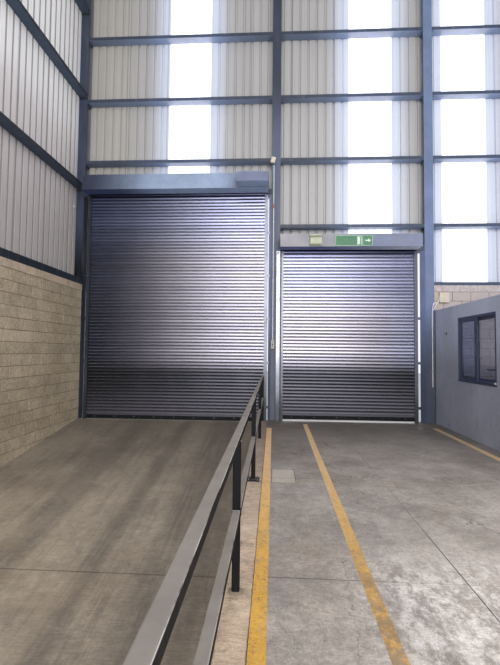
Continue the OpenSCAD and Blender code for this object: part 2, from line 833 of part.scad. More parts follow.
module window_glass() {
    color("lightblue") place() {
        pane(front_sash_x, sash_mid_y - sash_w / 2, sash_y1);
        pane(back_sash_x, sash_y0, sash_mid_y + sash_w / 2);
    }
}

module emergency_light() {
    x = hood_2_x0 + lamp_x;
    z = door_2_z + lamp_rise;
    color("white") place()
        block([x, hood_front_y - lamp_d, z], [x + lamp_w, hood_front_y, z + lamp_h]);
}

// A conduit of diameter d on the face of the end wall frame, between two heights above floor
module conduit(x, d, h0, h1) {
    translate([x, -column_d - d / 2, floor_z + h0]) cylinder(d = d, h = h1 - h0, $fn = 24);
}

// Junction box on the end wall blocks, the push-button box of door 1 with its conduit,
// and the conduit on the right column
module wall_boxes() {
    junction_x = partition_x + partition_t + junction_gap;
    button_x = middle_x - column_w / 2 + button_box_edge;
    color("white") place() {
        block([junction_x, -column_d - junction_d, floor_z + junction_sill_h],
            [junction_x + junction_w, -column_d, floor_z + junction_sill_h + junction_h]);
        block([button_x, -column_d - button_box_d, floor_z + conduit_foot_h - button_box_h],
            [button_x + button_box_w, -column_d, floor_z + conduit_foot_h]);
        conduit(button_x + button_box_w / 2, conduit_d, conduit_foot_h, conduit_top_h);
        conduit(right_x + column_w / 2 - right_conduit_edge, right_conduit_d,
            right_conduit_foot_h, right_conduit_top_h);
    }
}

ramp_bed();
ramp_slab();
floor_bed();
floor_slab();
retaining_kerb();
side_dado();
end_dado();
coping_beams();
corner_column();
middle_column();
right_column();
end_column();
side_columns();
end_girts_bay_1();
end_girts_bay_2();
end_girts_bay_3();
side_girts();
eaves_rails();
cladding_bay_1();
cladding_bay_2();
cladding_bay_3();
side_cladding();
translucent_sheets();
corner_flashing();
door_lintels();
door_1_curtain();
door_2_curtain();
bottom_bars();
door_guides();
guide_post();
door_jambs();
guide_brackets();
door_1_hood();
door_2_hood();
hood_end_plates();
curtain_rolls();
motor_cover();
guard_rails();
guard_rail_posts();
office_partition();
window_frame();
window_sashes();
window_glass();
emergency_light();
wall_boxes();
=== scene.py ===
"""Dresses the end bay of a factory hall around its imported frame.

Everything is in metres in the frame's own axes: x runs along the end wall, y
goes out through it and z goes up. Each sub-assembly is a class that reads its
planes from the frame, builds its pieces and gives them their finishes.
"""

import logging
import math
import random
from dataclasses import dataclass, field
from enum import Enum
from typing import Iterable, Iterator, Optional, Sequence, Union

import bmesh
import bpy
from mathutils import Matrix, Vector


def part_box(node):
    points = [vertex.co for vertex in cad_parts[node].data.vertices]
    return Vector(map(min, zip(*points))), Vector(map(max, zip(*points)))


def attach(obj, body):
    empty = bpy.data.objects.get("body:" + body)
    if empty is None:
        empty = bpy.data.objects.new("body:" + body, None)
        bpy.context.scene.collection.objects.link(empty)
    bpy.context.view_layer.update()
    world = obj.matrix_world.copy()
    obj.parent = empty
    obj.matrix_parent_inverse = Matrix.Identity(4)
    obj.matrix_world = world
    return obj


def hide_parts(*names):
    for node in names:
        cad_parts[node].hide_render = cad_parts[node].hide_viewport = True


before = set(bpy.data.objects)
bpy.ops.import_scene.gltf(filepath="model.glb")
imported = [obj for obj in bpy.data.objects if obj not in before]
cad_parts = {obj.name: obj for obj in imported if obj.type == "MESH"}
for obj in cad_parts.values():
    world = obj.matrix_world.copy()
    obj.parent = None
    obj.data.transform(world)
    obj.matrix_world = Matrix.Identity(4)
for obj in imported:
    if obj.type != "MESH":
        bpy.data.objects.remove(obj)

LOG = logging.getLogger("factory_bay")
Colour = tuple[float, float, float]
Pair = tuple[float, float]
Point3 = Sequence[float]
Socket = bpy.types.NodeSocket
Input = Union["Val", Socket, float, Point3, str, bpy.types.ID, None]


class Axis(Enum):
    """A direction of the frame."""

    X = 0
    Y = 1
    Z = 2


X, Y, Z = Axis


class Slot(Enum):
    """The record's material slots that the pieces use."""

    CONCRETE = "concrete"
    KERB = "kerb"
    BLOCKWORK = "blockwork"
    SHUTTER = "shutter"
    GALVANISED = "galvanised"
    HOOD_PAINT = "hood_paint"
    PALE_HOOD = "pale_hood"
    RAIL_STEEL = "rail_steel"
    PARTITION_PAINT = "partition_paint"
    WINDOW_METAL = "window_metal"
    WHITE_PLASTIC = "white_plastic"


def srgb(*levels: int) -> Colour:
    """Turns red, green and blue from 0 to 255, as on a screen, into linear light."""
    shares = (level / 255 for level in levels)
    return tuple(s / 12.92 if s <= 0.04045 else ((s + 0.055) / 1.055) ** 2.4 for s in shares)


def dim(colour: Colour, share: float, most: float = 1.0) -> Colour:
    """Gives a share of a colour's light, and no more than the most."""
    return tuple(min(part * share, most) for part in colour)


def point(axis: Axis, value: float, first: float, second: float) -> Colour:
    """Gives a point from its place on one axis and then on the two others."""
    return (first, second)[:axis.value] + (value,) + (first, second)[axis.value:]


@dataclass(frozen=True)
class Drift:
    """A tone that comes in along one axis, from nothing at the start to full at the end.

    With a plane to measure from, the start and the end are distances from that plane.
    """

    axis: Axis
    start: float
    end: float
    colour: Colour
    strength: float = 1.0
    about: Optional[float] = None


class Val:
    """A node socket that takes part in plain arithmetic."""

    def __init__(self, graph: "Graph", socket: Socket) -> None:
        """Keeps the socket and the graph it belongs to."""
        self.graph, self.socket = graph, socket

    def __add__(self, other: Input) -> "Val":
        """Adds a number or another value."""
        return self.graph.math("ADD", self, other)

    def __sub__(self, other: Input) -> "Val":
        """Takes a number or another value away."""
        return self.graph.math("SUBTRACT", self, other)

    def __rsub__(self, other: Input) -> "Val":
        """Takes this value away from a number."""
        return self.graph.math("SUBTRACT", other, self)

    def __mul__(self, other: Input) -> "Val":
        """Multiplies by a number or another value."""
        return self.graph.math("MULTIPLY", self, other)

    __radd__, __rmul__ = __add__, __mul__


class Graph:
    """Adds nodes to one node tree and links them."""

    def __init__(self, tree: bpy.types.NodeTree) -> None:
        """Keeps the tree that the nodes go into."""
        self.tree = tree

    def feed(self, socket: Socket, value: Input) -> None:
        """Links a value to a socket, or writes a constant on it.

        Args:
            socket: The input socket.
            value: A value of this graph, an output socket or a constant.
        """
        source = value.socket if isinstance(value, Val) else value
        if isinstance(source, Socket):
            self.tree.links.new(source, socket)
        else:
            socket.default_value = (*source, 1.0) if socket.type == "RGBA" else source

    def node(self, kind: str, inputs: Optional[dict] = None, **settings: object) -> bpy.types.Node:
        """Adds a node: its settings first, then its sockets.

        Args:
            kind: The node's type name.
            inputs: Values or links by socket name or number.
            settings: Attributes of the node, or stops for a colour ramp.

        Returns:
            The new node.
        """
        made = self.tree.nodes.new(kind)
        for name, value in settings.items():
            if name == "stops":
                elements = made.color_ramp.elements
                for _ in value[len(elements):]:
                    elements.new(0.5)
                for element, (place, colour) in zip(elements, value):
                    element.position, element.color = place, (*colour, 1.0)
            else:
                setattr(made, name, value)
        for key, value in (inputs or {}).items():
            self.feed(made.inputs[key], value)
        return made

    def val(self, kind: str, inputs: Optional[dict] = None, output: Union[int, str] = 0,
            **settings: object) -> Val:
        """Adds a node, as node does, and gives one of its outputs as a value."""
        return Val(self, self.node(kind, inputs, **settings).outputs[output])

    def math(self, operation: str, *values: Input) -> Val:
        """Adds a Math node for the operation on the values."""
        return self.val("ShaderNodeMath", dict(enumerate(values)), operation=operation)

    def high(self, first: Input, second: Input) -> Val:
        """Takes the larger of two values."""
        return self.math("MAXIMUM", first, second)

    def clamp(self, value: Input) -> Val:
        """Keeps a value between 0 and 1."""
        return self.val("ShaderNodeClamp", {"Value": value})

    def mix(self, share: Input, first: Input, second: Input, blend: str = "MIX") -> Val:
        """Lays the second colour on the first by a share."""
        return self.val("ShaderNodeMix", {0: share, 6: first, 7: second}, 2, data_type="RGBA",
                        blend_type=blend, clamp_factor=True)

    def toned(self, colour: Input, shade: Input, low: float, high: float) -> Val:
        """Darkens or lightens a colour by a pattern, between two factors."""
        return self.mix(1.0, colour, self.mix(shade, (low,) * 3, (high,) * 3), "MULTIPLY")

    def step(self, value: Input, start: float, end: float) -> Val:
        """Goes smoothly from 0 at the start to 1 at the end.

        Args:
            value: The value that it follows.
            start: Where it begins to rise.
            end: Where it is full, above the start or below it.

        Returns:
            The share from 0 to 1.
        """
        if start > end:
            return 1 - self.step(value, end, start)
        return self.val("ShaderNodeMapRange", {"Value": value, "From Min": start, "From Max": end},
                        interpolation_type="SMOOTHSTEP")

    def band(self, value: Input, low: float, high: float, soft: float) -> Val:
        """Is 1 between two values and fades out over a soft edge."""
        return self.step(value, low - soft, low + soft) * self.step(value, high + soft, high - soft)

    def along(self, axis: Axis) -> Val:
        """Gives the piece's own coordinate along one axis."""
        here = self.val("ShaderNodeTexCoord", None, "Object")
        return self.val("ShaderNodeSeparateXYZ", {0: here}, axis.value)

    def away(self, axis: Axis, middle: float) -> Val:
        """Gives the distance from a plane across one axis."""
        return self.math("ABSOLUTE", self.along(axis) - middle)

    def near(self, axis: Axis, middle: float, half: float, soft: float) -> Val:
        """Is 1 within a half width of a plane and fades out past it."""
        return self.step(self.away(axis, middle), half + soft, half)

    def facing(self, way: int) -> Val:
        """Is 1 where a face looks up, or down where the way is -1, and 0 where it looks sideways."""
        normal = self.val("ShaderNodeNewGeometry", None, "Normal")
        return self.clamp(self.val("ShaderNodeSeparateXYZ", {0: normal}, 2) * way)

    def place(self, stretch: Point3 = (1, 1, 1), shift: Point3 = (0, 0, 0), spin: float = 0.0) -> Val:
        """Gives the piece's own coordinates, stretched, turned about z and then shifted."""
        return self.val("ShaderNodeMapping", {"Vector": self.val("ShaderNodeTexCoord", None, "Object"),
                                              "Scale": stretch, "Location": shift, "Rotation": (0, 0, spin)})

    def noise(self, scale: float, detail: float = 4, rough: float = 0.55, stretch: Point3 = (1, 1, 1),
              bend: float = 0.0, shift: Point3 = (0, 0, 0), spin: float = 0.0) -> Val:
        """Adds a noise pattern from 0 to 1 at the piece's own place.

        Args:
            scale: Features to a metre.
            detail: Number of finer layers.
            rough: Share of the finer layers.
            stretch: Factors along the three axes.
            bend: Distortion of the pattern.
            shift: Shift after the stretch.
            spin: Turn about z.

        Returns:
            The pattern.
        """
        return self.val("ShaderNodeTexNoise", {
            "Vector": self.place(stretch, shift, spin), "Scale": scale, "Detail": detail,
            "Roughness": rough, "Distortion": bend}, normalize=True)

    def spots(self, low: float, high: float, *pattern: object, **more: object) -> Val:
        """Cuts a noise pattern, given as for noise, into spots with a soft edge."""
        return self.step(self.noise(*pattern, **more), low, high)

    def drift(self, colour: Input, drifts: Iterable[Drift]) -> Input:
        """Lays changes of tone over a colour, one after another.

        Args:
            colour: The colour to start from.
            drifts: The changes, in order.

        Returns:
            The changed colour.
        """
        for one in drifts:
            place = self.along(one.axis) if one.about is None else self.away(one.axis, one.about)
            colour = self.mix(self.step(place, one.start, one.end) * one.strength, colour, one.colour)
        return colour


class Coat(Graph):
    """A material's graph with the colour that its layers build up."""

    colour: Input = None

    def start(self, colour: Input, drifts: Iterable[Drift] = ()) -> None:
        """Takes a colour, changed by its drifts, as the ground of the coat."""
        self.colour = self.drift(colour, drifts)

    def lay(self, share: Input, colour: Input) -> None:
        """Lays a colour over the coat by a share."""
        self.colour = self.mix(share, self.colour, colour)

    def tone(self, shade: Input, low: float, high: float) -> None:
        """Darkens or lightens the coat by a pattern, between two factors."""
        self.colour = self.toned(self.colour, shade, low, high)

    def surface(self, rough: Input, height: Optional[Val] = None, depth: float = 0.0,
                strength: float = 0.5, **sockets: Input) -> None:
        """Ends the material in one Principled surface.

        Args:
            rough: The roughness.
            height: A pattern that raises the surface, if there is one.
            depth: How far it raises it.
            strength: Strength of the relief.
            sockets: Other sockets by name, with underscores for spaces.
        """
        inputs = {"Base Color": self.colour, "Roughness": rough}
        if height is not None:
            inputs["Normal"] = self.val("ShaderNodeBump", {
                "Height": height, "Distance": depth, "Strength": strength})
        inputs.update((name.replace("_", " "), value) for name, value in sockets.items())
        shader = self.node("ShaderNodeBsdfPrincipled", inputs)
        self.node("ShaderNodeOutputMaterial", {"Surface": shader.outputs[0]})


@dataclass(frozen=True)
class Finish:
    """A surface finish with its slot in the record; each kind paints its own coat."""

    name: str
    slot: Slot = field(default=Slot.WHITE_PLASTIC, kw_only=True)

    def paint(self, coat: Coat) -> None:
        """Builds the finish's layers on an empty coat."""
        raise NotImplementedError

    def material(self) -> bpy.types.Material:
        """Gives the finish's material, which is made the first time.

        Returns:
            The material.
        """
        label = f"{self.name}_finish"
        made = bpy.data.materials.get(label)
        if made is None:
            made = bpy.data.materials.new(label)
            made.use_nodes = True
            made.node_tree.nodes.clear()
            self.paint(Coat(made.node_tree))
        return made


@dataclass(frozen=True)
class SatinPaint(Finish):
    """Paint on steel with faint runs and scuffs, dust on its upper faces (on the rail also painted light)
    and, where given, painted light and shade on the faces that look down.
    """

    colour: Colour
    dust: Colour = srgb(150, 144, 136)
    dusty: float = 0.5
    rough: float = 0.5
    stain: float = 0.18
    rust: float = 0.0
    worn: float = 0.0
    gloss: float = 0.3
    drifts: tuple[Drift, ...] = ()
    under: Optional[Colour] = None
    under_drifts: tuple[Drift, ...] = ()

    def paint(self, coat: Coat) -> None:
        """Paints the coat and the painted light and shade on its downward faces, then its stains, dust (on
        the rail also painted light), worn edges and a little rust.

        Args:
            coat: The empty coat.
        """
        broad, fine = coat.noise(1.3, 5, 0.6), coat.noise(38, 3, 0.6)
        coat.start(self.colour, self.drifts)
        # Painted light and shade: faces that look down take a tone of their own.
        if self.under is not None:
            coat.lay(coat.step(coat.facing(-1), 0.4, 0.9), coat.drift(self.under, self.under_drifts))
        coat.tone(coat.step(broad * 0.7 + fine * 0.3, 0.34, 0.66), 0.82, 1.14)
        coat.lay(coat.spots(0.5, 0.78, 1, 4, 0.65, (9, 9, 0.7)) * self.stain, self.dust)
        # Dust on the faces that look up; at full strength on the rail it is also painted light on the tops.
        upturned = coat.step(coat.facing(1), 0.35, 0.9) * (0.55 + coat.noise(6) * 0.6)
        coat.lay(upturned * self.dusty, self.dust)
        if self.worn:
            edge = coat.band(coat.facing(1), 0.30, 0.72, 0.06) * coat.spots(0.36, 0.5, 3, 4, 0.6)
            coat.lay(edge * self.worn, srgb(206, 204, 202))
        if self.rust:
            rusty = coat.spots(0.60, 0.72, 17, 6, 0.7) * coat.spots(0.46, 0.66, 2.1, 3)
            coat.lay(rusty * self.rust, srgb(112, 66, 44))
        coat.surface(self.rough + fine * 0.10 + upturned * 0.2, fine + broad * 0.4, 0.0005,
                     Specular_IOR_Level=self.gloss)


@dataclass(frozen=True)
class WallSheet(Finish):
    """Coil-coated sheet with dust runs, painted shade on its rib flanks and the lap lines of its sheets."""

    colour: Colour
    across: Axis
    face: float
    lap_at: float
    lap_pitch: float = 1.0
    flank_shade: float = 0.10
    drifts: tuple[Drift, ...] = ()

    def paint(self, coat: Coat) -> None:
        """Paints the coating, its runs, its grime, the painted shade on the flanks of the ribs, and the laps.

        Args:
            coat: The empty coat.
        """
        out, stretch = (Y, (7, 1, 0.25)) if self.across is X else (X, (1, 7, 0.25))
        runs, thin = coat.noise(1, 5, 0.6, stretch), coat.noise(6, 3, 0.6, stretch)
        coat.start(self.colour, self.drifts)
        coat.tone(coat.step(runs * 0.35 + thin * 0.35 + coat.noise(0.55, 3, 0.5) * 0.3, 0.3, 0.7), 0.94, 1.05)
        coat.tone(coat.spots(0.36, 0.64, 1, 3, 0.6, (30, 30, 0.15)), 0.95, 1.04)
        # Painted shade on the flanks of the ribs, where the grooves fall into shadow.
        flank_shade = coat.band(coat.away(out, self.face), 0.003, 0.025, 0.002) * self.flank_shade
        lap = coat.math("PINGPONG", coat.along(self.across) - self.lap_at, self.lap_pitch / 2)
        line = coat.step(lap, 0.006, 0.002) * 0.75 + coat.step(lap, 0.05, 0.004) * 0.10
        coat.lay(coat.high(line, flank_shade), srgb(74, 72, 74))
        grime = coat.spots(0.55, 0.8, 3.5, 6, 0.7) * 0.15
        coat.lay(grime, srgb(128, 120, 110))
        coat.surface(0.48 + runs * 0.12 + grime * 0.4, thin, 0.0005)


@dataclass(frozen=True)
class Daylight(Finish):
    """Translucent ribbed sheet that glows by itself: painted daylight from the sky behind it."""

    glow: float = 1.35

    def paint(self, coat: Coat) -> None:
        """Makes the sheet glow with painted daylight, with faint fibre runs.

        Args:
            coat: The empty coat.
        """
        fibre = coat.noise(1, 4, 0.6, (40, 40, 1.2))
        shade = coat.step(fibre * 0.4 + coat.noise(0.8, 3) * 0.6, 0.3, 0.7)
        coat.start(coat.mix(shade, srgb(200, 206, 214), srgb(226, 230, 236)))
        sky = coat.mix(shade, srgb(238, 241, 248), srgb(255, 255, 255))
        coat.surface(0.35, fibre, 0.0006, 0.4, Emission_Color=sky, Emission_Strength=self.glow)


@dataclass(frozen=True)
class LathPaint(Finish):
    """Dark gloss paint of the shutter laths, a little dusty, rougher towards the floor and darker there as
    painted shade.
    """

    colour: Colour
    foot: float
    head: float
    top: float
    pitch: float
    drifts: tuple[Drift, ...] = ()

    def paint(self, coat: Coat) -> None:
        """Paints the laths, the painted shade at their hinges, their dust and their foot, rougher and darker
        with painted shade.

        Args:
            coat: The empty coat.
        """
        lift, runs = coat.along(Z), coat.noise(1, 4, 0.6, (2.2, 2.2, 0.6))
        foot = coat.step(lift, self.head, self.foot)
        # Painted shade in the gaps at the hinges between the laths.
        hinge_shade = coat.step(coat.math("PINGPONG", lift - self.top, self.pitch / 2), 0.007, 0.002)
        tint = coat.val("ShaderNodeAttribute", None, "Fac", attribute_name="tint")
        coat.start(self.colour, self.drifts)
        coat.tone(coat.step(runs * 0.5 + tint * 0.5, 0.25, 0.75), 0.88, 1.12)
        # Painted shade: the laths darken towards the floor, where their reflections fade.
        coat.lay(foot, dim(self.colour, 0.36))
        coat.lay(hinge_shade * 0.8, srgb(14, 14, 18))
        dust = coat.step(runs, 0.45, 0.75) * 0.05 + coat.step(coat.facing(1), 0.3, 0.9) * 0.06
        coat.lay(dust * (1 - foot * 0.7), srgb(92, 88, 88))
        coat.surface(0.29 + foot * 0.22 + hinge_shade * 0.2 + dust * 0.3, Metallic=0.9)


@dataclass(frozen=True)
class Zinc(Finish):
    """Galvanised steel with spangle, dull spots and dust, with other tones laid over it where drifts say so.
    """

    bright: Colour = srgb(138, 140, 154)
    dull: Colour = srgb(88, 91, 102)
    drifts: tuple[Drift, ...] = ()

    def paint(self, coat: Coat) -> None:
        """Lays the spangle, then the stains over it.

        Args:
            coat: The empty coat.
        """
        cells = coat.val("ShaderNodeTexVoronoi", {"Vector": coat.place(), "Scale": 90}, "Color")
        spangle = coat.val("ShaderNodeSeparateXYZ", {0: cells})
        shade = coat.step(spangle * 0.35 + coat.noise(2.2, 5, 0.65) * 0.65, 0.28, 0.72)
        stain = coat.spots(0.56, 0.74, 5, 5, 0.7, (3, 3, 0.4))
        zinc = coat.mix(shade, self.dull, self.bright)
        coat.start(coat.mix(stain * 0.5, zinc, srgb(92, 84, 78)), self.drifts)
        coat.surface(0.48 + spangle * 0.10 + stain * 0.2, spangle, 0.0003, 0.4, Metallic=0.7)


@dataclass(frozen=True)
class FloorConcrete(Finish):
    """Trowelled factory floor: polished patches, scuffs, cracks, saw cuts and worn lines."""

    dark: Colour = srgb(134, 126, 119)
    light: Colour = srgb(200, 190, 181)
    line: Colour = srgb(224, 168, 44)
    cuts_x: tuple[float, ...] = (0.170, 2.280, 4.390)
    cuts_y: tuple[float, ...] = (-4.195, -2.085, 0.200)
    cracks: tuple[tuple[float, float, float, float], ...] = (
        (-0.62, -1.80, -0.70, -2.95), (-0.70, -2.95, -0.60, -4.10), (0.62, -0.30, 1.30, -1.90))
    edge_line: Pair = (-1.2847, -1.187)
    walk_line: Pair = (-0.553, -0.462)
    walk_slant: float = 0.0055
    office_line: Pair = (2.132, 2.240)
    # Where the painted daylight under door 2 falls.
    lit_gap_x: Pair = (-1.02, 2.05)
    lit_gap_y: float = 4.482
    patch_x: Pair = (-1.165, -0.885)
    patch_y: Pair = (0.02, 0.58)

    def stripe(self, coat: Coat, across: Val, edges: Pair, end: float, wear: Val) -> Val:
        """Gives the cover of one painted line.

        Args:
            coat: The floor's coat.
            across: Coordinate across the line.
            edges: Low and high edge of the line.
            end: Where the line ends along y.
            wear: Wear of the paint from 0 to 1.

        Returns:
            The cover from 0 to 1.
        """
        ragged = across + (coat.noise(30, 4, 0.6) - 0.5) * 0.012
        return coat.band(ragged, *edges, 0.004) * coat.step(coat.along(Y), end, end - 0.03) * (1 - wear)

    def traffic(self, coat: Coat) -> None:
        """Lays rubber scuffs, fine scratches and specks over the concrete.

        Args:
            coat: The floor's coat.
        """
        zone = coat.spots(0.40, 0.60, 0.9, 3, 0.5, shift=(2, 9, 0))
        for stretch, spin, low, high, share, bend in (
                ((22, 2.5, 1), 0.5, 0.57, 0.70, 0.42, 2.0), ((2.5, 26, 1), 0.25, 0.57, 0.70, 0.42, 2.0),
                ((60, 3.5, 1), 0.9, 0.60, 0.66, 0.50, 2.5), ((5, 60, 1), -0.6, 0.60, 0.66, 0.50, 2.5),
                ((9, 4, 1), 0.3, 0.60, 0.64, 0.45, 3.5)):
            scuff = coat.spots(low, high, 1, 6, 0.75, stretch, bend, spin=spin)
            coat.lay(scuff * (zone * 0.75 + 0.25) * share, srgb(70, 66, 64))
        pale = coat.spots(0.64, 0.70, 1, 4, 0.7, (50, 1.6, 1), 0.8, (9, 3, 0), -0.35)
        coat.lay(pale * 0.35, srgb(214, 206, 198))
        for stretch, low, high in (((19, 19, 1), 0.83, 1.10), ((30, 85, 1), 0.84, 1.07),
                                   ((80, 60, 1), 0.86, 1.06)):
            coat.tone(coat.spots(0.38, 0.62, 1, 6, 0.8, stretch, 0.6), low, high)
        specks, dots = coat.spots(0.66, 0.70, 48, 3, 0.7), coat.spots(0.62, 0.74, 9, 5, 0.7) * zone
        coat.lay(specks * 0.5 + dots * 0.35, srgb(56, 53, 51))

    def cuts(self, coat: Coat) -> None:
        """Draws the dirt in the saw cuts and along the cracks.

        Args:
            coat: The floor's coat.
        """
        push = coat.val("ShaderNodeTexNoise", {
            "Vector": coat.place(), "Scale": 2.2, "Detail": 5.0, "Roughness": 0.65}, "Color")
        warped = coat.val("ShaderNodeVectorMath", {0: coat.place(), 1: push}, operation="ADD")
        seam = coat.val("ShaderNodeTexVoronoi", {"Vector": warped, "Scale": 0.42}, "Distance",
                        feature="DISTANCE_TO_EDGE")
        dirt = coat.step(seam, 0.0045, 0.0012) * coat.spots(0.5, 0.56, 0.8, 3, shift=(5, 1, 0)) * 0.7
        across, along = coat.along(X), coat.along(Y)
        worn = coat.step(along, -1.7, -0.7) * 0.8
        filled = coat.spots(0.40, 0.60, 0.7, 4, 0.6, shift=(3, 3, 0)) * 0.7
        for axis, places, full in ((X, self.cuts_x, worn), (Y, self.cuts_y, filled)):
            for place in places:
                dirt = coat.high(dirt, coat.near(axis, place, 0.0025, 0.004) * (1 - full) * 0.85)
        wander, broken = (coat.noise(3.5, 5, 0.7) - 0.5) * 0.22, coat.spots(0.40, 0.56, 9, 4, 0.7)
        for x0, y0, x1, y1 in self.cracks:
            off = coat.math("ABSOLUTE", across + wander - x0 - (along - y0) * ((x1 - x0) / (y1 - y0)))
            crack = coat.step(off, 0.006, 0.001) * broken * coat.band(along, y1, y0, 0.01) * 0.6
            dirt = coat.high(dirt, crack)
        coat.lay(dirt, srgb(62, 56, 53))

    def ground(self, coat: Coat, grit: Val, cloud: Val) -> None:
        """Paints the concrete with its stains, a painted light patch and glare, its marks, painted shade
        towards the doors and the repair patch.

        Args:
            coat: The empty coat.
            grit: The finest pattern.
            cloud: The middle pattern.
        """
        across, along = coat.along(X), coat.along(Y)
        shade = coat.step(coat.noise(0.55, 6, 0.6, bend=0.6) * 0.5 + cloud * 0.4 + grit * 0.1, 0.33, 0.67)
        coat.start(coat.mix(shade, self.dark, self.light))
        coat.lay(coat.spots(0.45, 0.72, 1.1, 4, 0.6, shift=(7, 3, 0)) * 0.3, srgb(152, 134, 114))
        # Painted light: a pale patch over the near right of the floor.
        lit_patch = coat.step(across, -0.1, 2.2) * coat.step(along, 0.8, -3.6)
        coat.lay(lit_patch * 0.55, srgb(236, 224, 216))
        glare = coat.near(X, 0.35, 0.45, 0.8) * coat.near(Y, -2.75, 0.5, 0.8)
        glints = coat.spots(0.42, 0.58, 7, 7, 0.8, (1.4, 0.9, 1), 0.2, spin=0.6)
        coat.lay(glare * glints * 0.75, srgb(248, 240, 234))
        self.traffic(coat)
        # Painted shade: the floor darkens towards the doors.
        coat.lay(coat.step(along, -0.8, 4.2) * 0.86, dim(self.dark, 0.42))
        inner = coat.band(across, *self.patch_x, 0.003) * coat.band(along, *self.patch_y, 0.003)
        outer = (coat.band(across, self.patch_x[0] - 0.010, self.patch_x[1] + 0.010, 0.004)
                 * coat.band(along, self.patch_y[0] - 0.014, self.patch_y[1] + 0.014, 0.004))
        coat.lay((outer - inner) * 0.8, srgb(58, 53, 50))
        coat.lay(inner * 0.85, coat.mix(coat.step(grit, 0.4, 0.6), srgb(164, 154, 142), srgb(212, 202, 188)))
        self.cuts(coat)

    def paint(self, coat: Coat) -> None:
        """Paints the concrete and then the lines on it.

        Args:
            coat: The empty coat.
        """
        grit, cloud = coat.noise(70, 3, 0.6), coat.noise(2.4, 6, 0.65, bend=0.3)
        self.ground(coat, grit, cloud)
        across, along = coat.along(X), coat.along(Y)
        chips = coat.spots(0.56, 0.66, 26, 5, 0.75)
        worn = coat.spots(0.40, 0.68, 3.2, 5, 0.7, (3, 0.7, 1))
        near = coat.step(along, 1.8, -3.2)
        edge_wear = coat.clamp(chips * (0.35 + worn * 0.5) + worn * 0.2) * (near * 0.5 + 0.5)
        walk_wear = coat.clamp(chips * 0.42 + worn * 0.16 + (1 - near) * 0.08)
        slanted = across - (along + 2.85) * self.walk_slant
        edge = self.stripe(coat, across, self.edge_line, 3.6, edge_wear)
        walk = self.stripe(coat, slanted, self.walk_line, 4.12, walk_wear)
        office = self.stripe(coat, across, self.office_line, 3.9, walk_wear)
        soiled = coat.spots(0.42, 0.75, 5, 5, 0.7) * (near * 0.30 + 0.15)
        dirty = coat.mix(soiled, coat.mix(near, srgb(250, 206, 150), self.line), srgb(138, 110, 66))
        dirty = coat.toned(dirty, coat.spots(0.36, 0.64, 34, 5, 0.75), 0.84, 1.08)
        black = coat.spots(0.57, 0.62, 24, 6, 0.8, bend=0.8) * (near * 0.5 + 0.25)
        dirty = coat.mix(black, dirty, srgb(58, 48, 38))
        coat.lay(edge * 0.95, dirty)
        trodden = coat.step(along, -1.0, -2.7) * coat.spots(0.36, 0.56, 12, 6, 0.8, bend=0.3)
        coat.lay(walk * 0.95, coat.mix(0.12 + trodden * 0.75, dirty, srgb(132, 110, 82)))
        coat.lay(office * 0.85, coat.mix(0.45, dirty, srgb(176, 150, 116)))
        # Painted light: daylight under the bar of door 2, on the slab behind it.
        sill = coat.band(across, *self.lit_gap_x, 0.01) * coat.step(along, self.lit_gap_y, self.lit_gap_y + 0.01)
        coat.lay(sill, srgb(252, 250, 248))
        polish = coat.spots(0.42, 0.66, 0.8, 5, 0.6, shift=(1, 4, 0))
        coat.surface(0.62 - polish * 0.28 + grit * 0.16 + edge * 0.05,
                     grit * 0.5 + cloud * 0.6 - chips * 0.25, 0.0016, 0.6)


